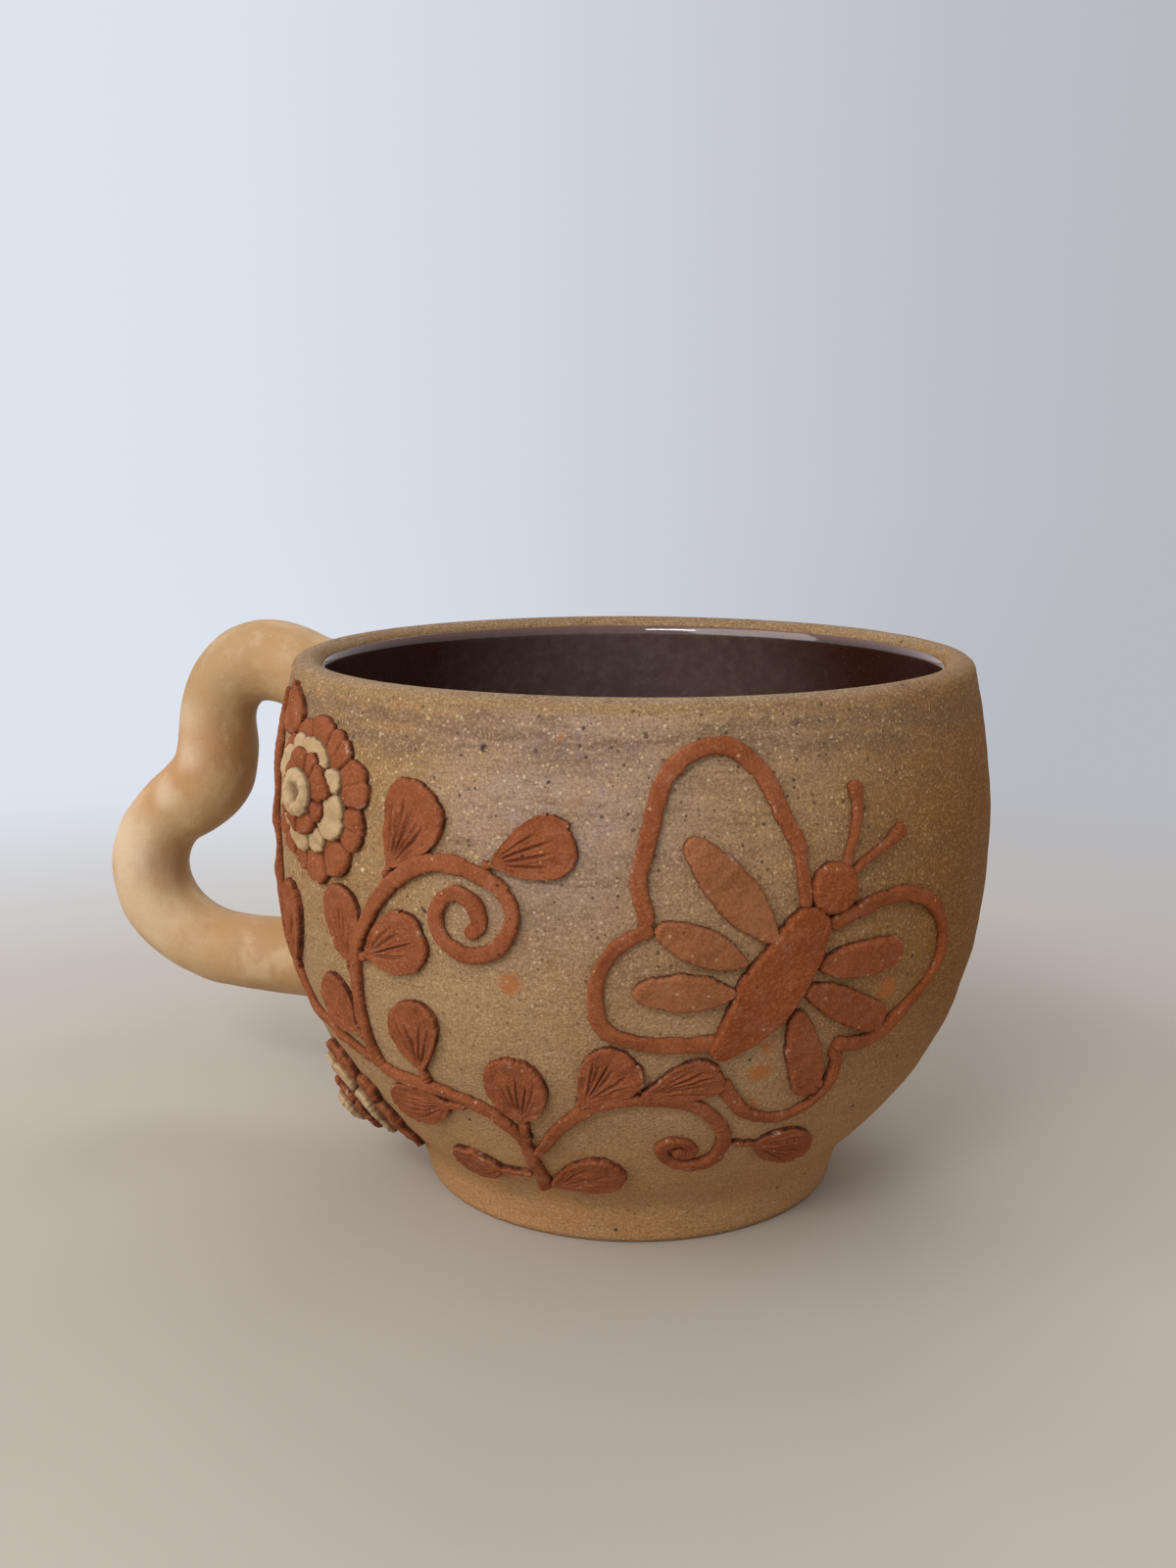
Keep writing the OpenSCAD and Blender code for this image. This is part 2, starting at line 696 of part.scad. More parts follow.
function vine_spot(x_share, y_share) = shift(vine_place, x_share * vine_w, y_share * vine_w);

function vine_path(shares) = [
    for (s = shares)
        let (p = vine_spot(s[0], s[1]))
        [p[0], p[1], s[2]]
];

module vine_coil(shares) {
    color(red_clay) coil(spline(vine_path(shares), coil_steps));
}

// Leaves that grow from a vine: [vine, point of its path, side, heading, share of length, share of width].
// The leaf by the rim has shares of the vine's width, right of the upper flower and up, in place of
// point and side.
left_stem = 0;
right_stem = 1;
side_stem = 2;
beside_flower = 3;
leaf_shares = [
    [left_stem, 12.2, -1, 22, 0.94, 1.04],
    [left_stem, 14.15, -1, 70, 0.9, 0.88],
    [left_stem, 10, 1, 65, 0.95, 0.98],
    [left_stem, 4.9, 1, 0, 0.97, 0.94],
    [left_stem, 2, 1, -3, 1.15, 1],
    [right_stem, 2.6, -1, 40, 0.84, 0.9],
    [right_stem, 4.25, -1, 74, 0.79, 0.7],
    [right_stem, 8.15, -1, 112, 0.89, 1.06],
    [left_stem, 0.3, 1, 60, 0.91, 0.86],
    [left_stem, 0.8, -1, -92, 0.98, 0.82],
    [left_stem, 3.85, -1, -103, 1.12, 0.82],
    [left_stem, 9.5, -1, -13, 0.92, 0.82],
    [side_stem, 4.6, 1, 10, 1.08, 0.92],
    [left_stem, 7.7, -1, -48, 0.85, 1.04],
    [beside_flower, -0.24777621505, 0.26, 160, 0.55, 0.76]
];

function stem_path(stem) =
    stem == left_stem ? vine_path(left_vine_shares)
    : stem == right_stem ? vine_path(right_vine_shares)
    : vine_path(side_vine_shares);

// Steps between two points of a vine's path when a leaf is set on its flank
flank_steps = 20;

// Place on the flank of a vine at a point of its path, where a stem with a heading clears the coil
function flank(stem, at, side, heading) =
    let (
        path = spline(stem_path(stem), flank_steps),
        i = round(at * flank_steps),
        dir = direction(path[i - 1], path[i + 1]),
        stem_reach = stem_w / 2 * abs(dir * heading_direction(heading)),
        off = side * (path[i][2] * coil_w / 2 + stem_reach + side_gap)
    )
    shift(path[i], off * dir[1], -off * dir[0]);

module vine_leaf(i) {
    s = leaf_shares[i];
    base = s[0] == beside_flower
        ? shift(upper_flower_place, s[1] * vine_w, s[2] * vine_w)
        : flank(s[0], s[1], s[2], s[3]);
    color(red_clay) leaf(base, s[3], s[4] * leaf_l, s[5] * leaf_w);
}

// Flowers

// Middles of the flowers: [share of the vine's width right of the fork, share up]
upper_flower_shares = [-0.622, 1.005];
lower_flower_shares = [-0.777, -0.018];
upper_flower_place = vine_spot(upper_flower_shares[0], upper_flower_shares[1]);
lower_flower_place = vine_spot(lower_flower_shares[0], lower_flower_shares[1]);

// Rings of petals from the wall outwards, off centre as a hand sets them:
// [share of the flower's radius, number of petals, share shifted right, share shifted up, clay]
petal_ring_shares = [
    [1, 10, -0.04, -0.08, red_clay], [0.76, 9, -0.06, -0.05, petal_clay], [0.53, 7, -0.03, -0.02, red_clay]
];
petal_samples = 5;
petal_cut_share = 0.13;
// How broad the domes of the petals are, as a power
petal_power = 0.7;
button_share = 0.25;

// Radii of a scalloped ring
function petal_radii(radius, count) = [
    for (i = [0 : count * petal_samples - 1])
        let (lobe = abs(sin(180 * i / petal_samples)))
        radius * (1 - petal_cut_share * (1 - pow(lobe, petal_power)))
];

module petal_ring(place, radius, layer) {
    s = petal_ring_shares[layer];
    color(s[4])
        disc(
            shift(place, s[2] * radius, s[3] * radius), petal_radii(radius * s[0], s[1]), petal_t,
            layer * (petal_t + petal_gap)
        );
}

module flower_button(place, radius) {
    color(petal_clay)
        disc(
            place, [for (i = [0 : head_sides - 1]) radius * button_share], button_t,
            len(petal_ring_shares) * (petal_t + petal_gap)
        );
}

cup_body();
interior_glaze();
handle();
butterfly_body();
butterfly_head();
wing_coil(left_antenna_shares, head_top);  // left_antenna
wing_coil(right_antenna_shares, head_top);  // right_antenna
wing_coil(upper_left_wing_shares);  // upper_left_wing_coil
wing_coil(lower_left_wing_shares);  // lower_left_wing_coil
wing_coil(upper_right_wing_shares);  // upper_right_wing_coil
wing_coil(lower_right_wing_shares);  // lower_right_wing_coil
for (i = [0 : len(wing_petal_nodes) - 1])
    wing_petal(i);
vine_coil(left_vine_shares);  // left_vine
vine_coil(right_vine_shares);  // right_vine
vine_coil(side_vine_shares);  // side_vine
for (i = [0 : len(leaf_nodes) - 1])
    vine_leaf(i);
for (i = [0 : len(petal_ring_names) - 1])
    petal_ring(upper_flower_place, upper_flower_r, i);
flower_button(upper_flower_place, upper_flower_r);  // upper_flower_button
for (i = [0 : len(petal_ring_names) - 1])
    petal_ring(lower_flower_place, lower_flower_r, i);
flower_button(lower_flower_place, lower_flower_r);  // lower_flower_button
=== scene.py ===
"""Looks of the clay mug: thrown wall, glazed inside, rolled handle and the applied relief.

Lengths are millimetres unless a comment says metres, and the frame's cup sets the size. A place on the
wall is [angle in degrees, length of wall run from its foot]. A drawing is flat until it is laid on the wall.
"""
import math

import bmesh
import bpy
import numpy as np
from mathutils import Matrix, Vector


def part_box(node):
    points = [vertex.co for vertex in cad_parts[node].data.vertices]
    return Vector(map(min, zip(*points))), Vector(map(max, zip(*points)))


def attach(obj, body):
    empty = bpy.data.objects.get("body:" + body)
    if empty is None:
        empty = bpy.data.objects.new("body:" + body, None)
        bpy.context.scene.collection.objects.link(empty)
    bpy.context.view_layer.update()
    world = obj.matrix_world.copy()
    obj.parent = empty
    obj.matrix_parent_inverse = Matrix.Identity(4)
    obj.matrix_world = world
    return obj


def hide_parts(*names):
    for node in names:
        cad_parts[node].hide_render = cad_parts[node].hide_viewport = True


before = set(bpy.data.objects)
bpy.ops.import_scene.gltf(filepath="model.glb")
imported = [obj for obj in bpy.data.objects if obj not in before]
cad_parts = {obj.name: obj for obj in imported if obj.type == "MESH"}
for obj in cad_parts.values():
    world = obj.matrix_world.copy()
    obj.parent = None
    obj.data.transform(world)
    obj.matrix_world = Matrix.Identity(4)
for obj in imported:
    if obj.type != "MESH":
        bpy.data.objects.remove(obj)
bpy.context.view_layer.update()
bpy.context.scene.view_settings.view_transform = "Standard"
MM = 0.001

# Cup, from the frame
_, cup_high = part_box("cup_body")
MUG_H = cup_high.z / MM
BELLY_R = cup_high.x / MM
UNIT = MUG_H / 80
LIP_H = 2 * UNIT
RIM_Z = MUG_H - LIP_H
RIM_R = 50.5 * UNIT
BELLY_Z = 54 * UNIT
WALL_T = 4.5 * UNIT
FLOOR_Z = 8.5 * UNIT
FOOT_H = 7 * UNIT
FOOT_R = 31.2 * UNIT
NECK_R = 33.4 * UNIT
FOOT_RING_W = 6 * UNIT
FOOT_RECESS = 3 * UNIT
FOOT_SWEEP = 2.5 * UNIT
BOWL_FULLNESS = 2.4
FLOOR_ROUNDNESS = 0.25
GLAZE_T = 0.45 * UNIT
GLAZE_DROP = 1.4 * UNIT
GLAZE_GAP = 0.05 * UNIT
# Share of the outer wall's wobble that shows inside
INSIDE_WOBBLY = 0.3

# Handle
TUBE_R = 6.5 * UNIT
HANDLE_REACH = 86 * UNIT
HANDLE_TOP_Z = 76.1 * UNIT
HANDLE_LOW_Z = 26.6 * UNIT

# Relief
COIL_W = 2.1 * UNIT
COIL_T = 1.1 * UNIT
LEAF_L = 13 * UNIT
LEAF_W = 8 * UNIT
LEAF_T = 1.15 * UNIT
STEM_W = 1.2 * UNIT
BODY_L = 21.4 * UNIT
BODY_W = 8.8 * UNIT
BODY_T = 1.55 * UNIT
HEAD_R = 3.25 * UNIT
WING_PETAL_W = 4.8 * UNIT
BUTTERFLY_W = 50 * UNIT
BUTTERFLY_ACROSS = 33.9 * UNIT
BUTTERFLY_UP = 29.4 * UNIT
BUTTERFLY_TILT = math.radians(31.5)
VINE_W = 50 * UNIT
VINE_ANGLE = -90
VINE_Z = 16.7 * UNIT
UPPER_FLOWER_R = 11.5 * UNIT
LOWER_FLOWER_R = 13.4 * UNIT
PETAL_T = 1.1 * UNIT
BUTTON_T = 1.3 * UNIT
BUTTON_SEAT = 2.6 * UNIT
# How deep the relief is pressed into the wall
PRESSED = 0.12 * UNIT

# The thrown lip is uneven: how far it dips in front and rises behind, from what height, where it is highest
LIP_DIP = 0.88 * UNIT
LIP_DIP_FROM = 66 * UNIT
LIP_HIGH_ANGLE = math.radians(107)


# Noise: layers are [seed step, strength, size of the waves in millimetres of the 80 mm mug]

WALL_WOBBLE = [(0, 0.13, 46), (1, 0.05, 11), (2, 0.02, 3.4)]
WALL_SET_BACK = 0.3
HANDLE_BUMPS = [(0, 0.13, 24), (1, 0.035, 7)]
HANDLE_SET_BACK = 0.26
COIL_EDGE = [(0, 0.055, 6), (1, 0.035, 1.9), (2, 0.035, 0.6)]
COIL_RISE = [(6, 0.08, 7)]
COIL_TILT = [(7, 0.1, 9)]
COIL_DENTS = [(8, 0.03, 1.7), (9, 0.018, 0.55)]
PAD_EDGE = [(0, 0.09, 3.6), (1, 0.06, 1.1), (4, 0.04, 0.45)]
PAD_RISE = [(2, 0.05, 6)]
PAD_GRIT = [(5, 0.025, 1.6), (6, 0.015, 0.5)]
LEAF_LUMPS = [(9, 0.06, 2.6)]
PETAL_RUFFLE = [(20, 0.09, 3.2)]
BUTTON_LUMPS = [(20, 0.08, 1.2)]


def waves(seed, size, count=28):
    """Smooth noise of about unit strength for points in millimetres, with waves of about the given size."""
    rng = np.random.default_rng(seed)
    way = rng.normal(size=(3, count))
    way /= np.linalg.norm(way, axis=0)
    way *= 2 * np.pi / size * rng.uniform(0.55, 1.45, count)
    start = rng.uniform(0, 2 * np.pi, count)
    scale = 1 / math.sqrt(count / 2)
    return lambda points: np.cos(np.asarray(points) @ way + start).sum(-1) * scale


def layered(points, seed, layers):
    return sum(strength * waves(seed + step, size * UNIT)(points) for step, strength, size in layers)


def nicks(points, seed, size, level):
    """Depth of sparse nicks, where the waves rise above a level."""
    return np.clip(waves(seed, size * UNIT)(points) - level, 0, 0.8)


def tagged(flat, tag):
    """Points of a drawing with a third value, so that each piece has noise of its own."""
    return np.concatenate([flat, np.full(flat.shape[:-1] + (1,), tag)], -1)


# Shapes of curves

def held(value):
    """Value held between 0 and 1."""
    return np.clip(value, 0, 1)


def bell(value, middle, width):
    return np.exp(-((value - middle) / width) ** 2)


def rounded(distance, radius):
    """How full a rounded edge is at a distance from the outline: 0 at the outline, 1 past the radius."""
    return np.sqrt(1 - (1 - held(distance / radius)) ** 2)


def ring_angles(count, start=0.0):
    return 2 * np.pi * (np.arange(count) + start) / count


def ellipse(count, wide=1.0, high=1.0):
    angle = ring_angles(count)
    return np.stack([wide * np.cos(angle), high * np.sin(angle)], -1)


def direction(line):
    """Unit vectors along a line of points."""
    way = np.gradient(line, axis=0)
    return way / np.linalg.norm(way, axis=1)[:, None]


def right_of(way):
    return np.stack([way[..., 1], -way[..., 0]], -1)


def cubic(points, i):
    """Factors for powers 0 to 3 of the smooth curve from point i to the next."""
    a, b, c, d = points[max(i - 1, 0)], points[i], points[i + 1], points[min(i + 2, len(points) - 1)]
    return np.array([2 * b, c - a, 2 * a - 5 * b + 4 * c - d, 3 * b - a - 3 * c + d]) / 2


def spline(points, step):
    """Smooth curve through rows of values, its points about a step apart along the first two values."""
    rows = []
    for i in range(len(points) - 1):
        count = max(1, round(float(np.linalg.norm((points[i + 1] - points[i])[:2])) / step))
        rows.append((np.arange(count) / count)[:, None] ** np.arange(4) @ cubic(points, i))
    return np.concatenate(rows + [points[-1:]])


def along(points):
    """Length along a line up to each of its points."""
    return np.concatenate([[0], np.cumsum(np.linalg.norm(np.diff(points, axis=0), axis=1))])


# Wall

def sharp_wall_r(z):
    """Outer radius at a height, with a corner between foot and bowl."""
    z = np.asarray(z, float)
    foot = FOOT_R + (NECK_R - FOOT_R) * z / FOOT_H
    share = held((z - FOOT_H) / (BELLY_Z - FOOT_H))
    bowl = NECK_R + (BELLY_R - NECK_R) * (1 - (1 - share) ** BOWL_FULLNESS)
    top = BELLY_R - (BELLY_R - RIM_R) * ((z - BELLY_Z) / (RIM_Z - BELLY_Z)) ** 2
    return np.where(z < FOOT_H, foot, np.where(z < BELLY_Z, bowl, top))


def wall_r(z):
    """Outer radius at a height, with foot and bowl blended by a curve."""
    z = np.asarray(z, float)
    t = held((z - FOOT_H + FOOT_SWEEP) / (2 * FOOT_SWEEP))
    low = sharp_wall_r(FOOT_H - FOOT_SWEEP)
    high = sharp_wall_r(FOOT_H + FOOT_SWEEP)
    blend = (1 - t) ** 2 * low + 2 * t * (1 - t) * NECK_R + t * t * high
    return np.where(np.abs(z - FOOT_H) < FOOT_SWEEP, blend, sharp_wall_r(z))


def cavity_r(z):
    share = held((z - FLOOR_Z) / (BELLY_Z - FLOOR_Z))
    bowl = (BELLY_R - WALL_T) * (1 - (1 - share) ** BOWL_FULLNESS) ** FLOOR_ROUNDNESS
    return np.where(z < BELLY_Z, bowl, wall_r(z) - WALL_T)


def lip_lift(angle, z):
    """How far the uneven lip raises the wall at an angle and height."""
    share = held((z - LIP_DIP_FROM) / (RIM_Z - LIP_DIP_FROM))
    return LIP_DIP * np.cos(angle - LIP_HIGH_ANGLE) * share ** 2 * (3 - 2 * share)


SLOPE_STEP = 0.05
run_z = np.linspace(0, MUG_H, 1601)
run_length = along(np.stack([run_z, wall_r(run_z)], -1))


def run_of(z):
    return np.interp(z, run_z, run_length)


def wobbled(points):
    """How far the hand-thrown wall stands out from a true turned one, at points on it."""
    return UNIT * (layered(points, 11, WALL_WOBBLE) - WALL_SET_BACK)


def shift(places, across, up):
    """Places moved across and up the wall."""
    run = places[..., 1] + up
    turn = np.degrees(across / wall_r(np.interp(run, run_length, run_z)))
    return np.stack([places[..., 0] + turn, run], -1)


def on_wall(places, lift):
    """Points at places on the wall, lifted square off it."""
    z = np.interp(places[..., 1], run_length, run_z)
    slope = (wall_r(z + SLOPE_STEP) - wall_r(z - SLOPE_STEP)) / (2 * SLOPE_STEP)
    square = np.hypot(1, slope)
    angle = np.radians(places[..., 0])
    r = wall_r(z - lip_lift(angle, z))
    foot = np.stack([r * np.cos(angle), r * np.sin(angle), z], -1)
    out = np.stack([np.cos(angle) / square, np.sin(angle) / square, -slope / square], -1)
    return foot + out * (np.asarray(lift) + wobbled(foot))[..., None]


def on_clay(angle, z):
    """Point of the wall at an angle and a height in millimetres of the 80 mm mug."""
    return on_wall(np.array([float(angle), float(run_of(z * UNIT))]), 0)


# Meshes

WELD_WITHIN = 0.002 * UNIT
CUP_COLUMNS = 480
GLAZE_COLUMNS = 288
HANDLE_COLUMNS = 72
SMOOTHING_ROUNDS = 14
BODY_POINTS = 300
HEAD_POINTS = 200
WING_PETAL_POINTS = 280
LEAF_POINTS = 420
FLOWER_PETAL_POINTS = 48
BUTTON_POINTS = 180
FLOOR_POINTS = 96


def make_piece(name, points, faces, node, material, marks):
    """Mesh object from points in millimetres that stands for a node of the frame."""
    mesh = bpy.data.meshes.new(name)
    mesh.from_pydata((points * MM).tolist(), [], faces)
    for mark, values in marks.items():
        attribute = mesh.attributes.new(mark, "FLOAT", "POINT")
        attribute.data.foreach_set("value", values.astype(np.float32))
    # points that fall together along a middle line become one
    welded = bmesh.new()
    welded.from_mesh(mesh)
    bmesh.ops.remove_doubles(welded, verts=welded.verts, dist=WELD_WITHIN * MM)
    welded.to_mesh(mesh)
    welded.free()
    mesh.validate()
    mesh.polygons.foreach_set("use_smooth", [True] * len(mesh.polygons))
    mesh.update()
    piece = bpy.data.objects.new(name, mesh)
    place_in_scene(piece)
    piece.data.materials.append(material)
    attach(piece, "root")
    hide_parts(node)


def ring_faces(rows, cols):
    """Quads between the rings of a grid of points."""
    i, j = np.meshgrid(np.arange(rows - 1), np.arange(cols), indexing="ij")
    k = (j + 1) % cols
    quads = np.stack([i * cols + j, i * cols + k, (i + 1) * cols + k, (i + 1) * cols + j], -1)
    return quads.reshape(-1, 4).tolist()


def fan_faces(tip, start, count, flip):
    """Triangles from a ring of points to a tip."""
    here = np.arange(count)
    there = (here + 1) % count
    if flip:
        here, there = there, here
    return np.stack([np.full(count, tip), start + here, start + there], -1).tolist()


def capped(grid, tips=None):
    """Points and faces of a tube of rings, closed at each end over the given tip or the ring's middle."""
    rows, cols = grid.shape[:2]
    if tips is None:
        tips = [grid[0].mean(0), grid[-1].mean(0)]
    faces = ring_faces(rows, cols) + fan_faces(rows * cols, 0, cols, True)
    faces += fan_faces(rows * cols + 1, (rows - 1) * cols, cols, False)
    return np.concatenate([grid.reshape(-1, 3), tips]), faces


# Drawings: each has its own flat frame, which shift() lays on the wall

vine_place = np.array([VINE_ANGLE, run_of(VINE_Z)])
butterfly_place = shift(vine_place, BUTTERFLY_ACROSS, BUTTERFLY_UP)


def vine_drawing(points):
    return shift(np.broadcast_to(vine_place, points.shape), points[..., 0], points[..., 1])


def butterfly_drawing(points):
    c, s = math.cos(BUTTERFLY_TILT), math.sin(BUTTERFLY_TILT)
    across = points[..., 0] * c + points[..., 1] * s
    up = points[..., 1] * c - points[..., 0] * s
    return shift(np.broadcast_to(butterfly_place, points.shape), across, up)


def heading_frame(heading):
    """Unit vectors along a heading, which turns clockwise from up, and to its right."""
    way = np.array([math.sin(heading), math.cos(heading)])
    return np.stack([way, right_of(way)])


def turned(points, base, heading):
    """Points [along, across] of a piece as points of the drawing."""
    return base + points @ heading_frame(heading)


def untwisted(points, base, heading):
    """Points of the drawing as [along, across] of a piece."""
    return (points - base) @ heading_frame(heading).T


# Coils

# Left half of a pressed coil's section: [share of the half width, share of the thickness, edge mark]
COIL_LEFT = [
    (-0.8, 0, 1), (-0.94, 0.12, 1), (-1, 0.36, 0.9), (-0.99, 0.6, 0.8), (-0.93, 0.81, 0.6),
    (-0.79, 0.94, 0.35), (-0.55, 0.99, 0.1), (-0.28, 1, 0),
]
COIL_SECTION = np.array(COIL_LEFT + [(0, 1, 0)] + [(-x, rise, mark) for x, rise, mark in COIL_LEFT[::-1]])
COIL_CAP_ANGLES = np.radians([82, 68, 54, 40, 27, 13])


def coil(name, drawing, shares, unit, seed):
    """Coil pressed on to the wall along [share right, share up, share of the width] of a drawing."""
    line = spline(np.array(shares) * [unit, unit, 1], 0.17 * UNIT)
    path, way = line[:, :2], direction(line[:, :2])
    # rounded ends, drawn out past the path by their own half width
    ends = len(COIL_CAP_ANGLES)
    narrow, out = np.cos(COIL_CAP_ANGLES), np.sin(COIL_CAP_ANGLES)[:, None]
    shrink = np.concatenate([narrow, np.ones(len(line)), narrow[::-1]])
    half = line[:, 2] * COIL_W / 2
    head = path[:1] - way[:1] * half[0] * out
    tail = path[-1:] + way[-1:] * half[-1] * out[::-1]
    path = np.concatenate([head, path, tail])
    way = np.pad(way, ((ends, ends), (0, 0)), "edge")
    half = np.pad(half, ends, "edge") * shrink
    run = along(path)
    marks = np.stack([run, np.full_like(run, seed * 7.3), np.zeros_like(run)], -1)
    left, right = (
        1 + layered(marks, seed + k, COIL_EDGE) - 0.22 * nicks(marks, seed + k + 40, 1.1, 1.2)
        for k in (0, 3)
    )
    rise = shrink ** 0.4 * COIL_T * (1 + layered(marks, seed, COIL_RISE))
    aside, up, mark = COIL_SECTION.T
    across = aside * half[:, None] * np.where(aside < 0, left[:, None], right[:, None])
    height = up * rise[:, None] * (1 + layered(marks, seed, COIL_TILT)[:, None] * aside) - PRESSED
    places = drawing(path[:, None] + across[..., None] * right_of(way)[:, None])
    # dents left by fingers on the top
    dents = layered(on_wall(places, height), seed, COIL_DENTS) * UNIT * up ** 2
    points, faces = capped(on_wall(places, height + dents))
    # the edge mark places slip smears and the painted shade along the coil's underside
    edge = np.append(np.tile(mark, len(path)), [0.6, 0.6])
    make_piece(name + "_clay", points, [f[::-1] for f in faces], name, RED, {"edge": edge})


# Pads

# The side under a pad's rounded edge, and its underside: [distance inside the outline, share of thickness]
PAD_UNDER = np.array([(0.014, 0.16), (0.07, 0.0), (0.196, -0.06)])


def pad(name, drawing, outline, spine, thickness, seed, material, detail=None, rings=24,
        ragged=0.5, seat=0.0, edge_r=0.5, slack=0.3):
    """Flat pad of clay with an outline round a middle line, both as points of a drawing."""
    n = len(outline)
    out = outline - spine
    out /= np.linalg.norm(out, axis=1)[:, None] + 1e-9
    marks = tagged(outline, seed * 5.1)
    uneven = layered(marks, seed, PAD_EDGE) - 0.4 * nicks(marks, seed + 7, 1.2, 1.1)
    outline = outline + out * (ragged * UNIT * uneven)[:, None]
    shares = 1 - (1 - np.linspace(0, 1, rings)) ** 1.5
    flat = spine + shares[:, None, None] * (outline - spine)
    distance = (1 - shares)[:, None] * np.linalg.norm(outline - spine, axis=1)
    full = slack + (1 - slack) * rounded(distance, edge_r * UNIT)
    height = thickness * (full * (1 + layered(tagged(flat, seed * 3.3), seed, PAD_RISE)))
    # how deep each point lies in a vein, crease or hole, which the materials paint as shade
    groove = np.zeros(height.shape)
    if detail is not None:
        change, groove = detail(flat, distance)
        height = height + change
    grit = layered(tagged(flat, seed * 1.7), seed, PAD_GRIT)
    height = height + UNIT * grit * np.clip(distance / (0.3 * UNIT), 0.3, 1)
    under = ((0, len(PAD_UNDER)), (0, 0))
    flat = np.concatenate([flat, outline - out * (PAD_UNDER[:, 0] * UNIT)[:, None, None]])
    height = np.concatenate([height, np.repeat(thickness * PAD_UNDER[:, 1:], n, 1)])
    # the edge mark places slip smears and the painted shade along the pad's underside
    edge = np.clip(1 - np.pad(distance, under) / (0.7 * UNIT), 0, 1)
    points = on_wall(drawing(flat), seat + height - PRESSED)
    # the innermost ring lies on the middle line, and a fan closes the underside
    rows = len(points)
    faces = ring_faces(rows, n) + fan_faces(rows * n, (rows - 1) * n, n, False)
    points = np.concatenate([points.reshape(-1, 3), [points[-1].mean(0)]])
    marks = {"edge": np.append(edge, 1), "groove": np.append(np.pad(groove, under), 0)}
    make_piece(name + "_clay", points, faces, name, material, marks)


def even(corners, count):
    """Closed smooth outline through corner points, with points evenly along it."""
    loop = spline(np.concatenate([corners[-2:], corners, corners[:2]]), 0.05 * UNIT)
    # the part of the curve between the first corner and its return
    start = np.linalg.norm(loop - corners[0], axis=1)
    half_way = len(loop) // 2
    loop = loop[int(start[:half_way].argmin()):half_way + int(start[half_way:].argmin()) + 1]
    run = along(loop)
    at = np.linspace(0, run[-1], count, endpoint=False)
    return np.stack([np.interp(at, run, loop[:, 0]), np.interp(at, run, loop[:, 1])], -1)


def round_strip(count):
    """For points round a strip: their shares of its length, and their side as a sign."""
    angle = ring_angles(count, 0.5)
    return (1 - np.cos(angle)) / 2, np.sign(np.sin(angle))


# Materials

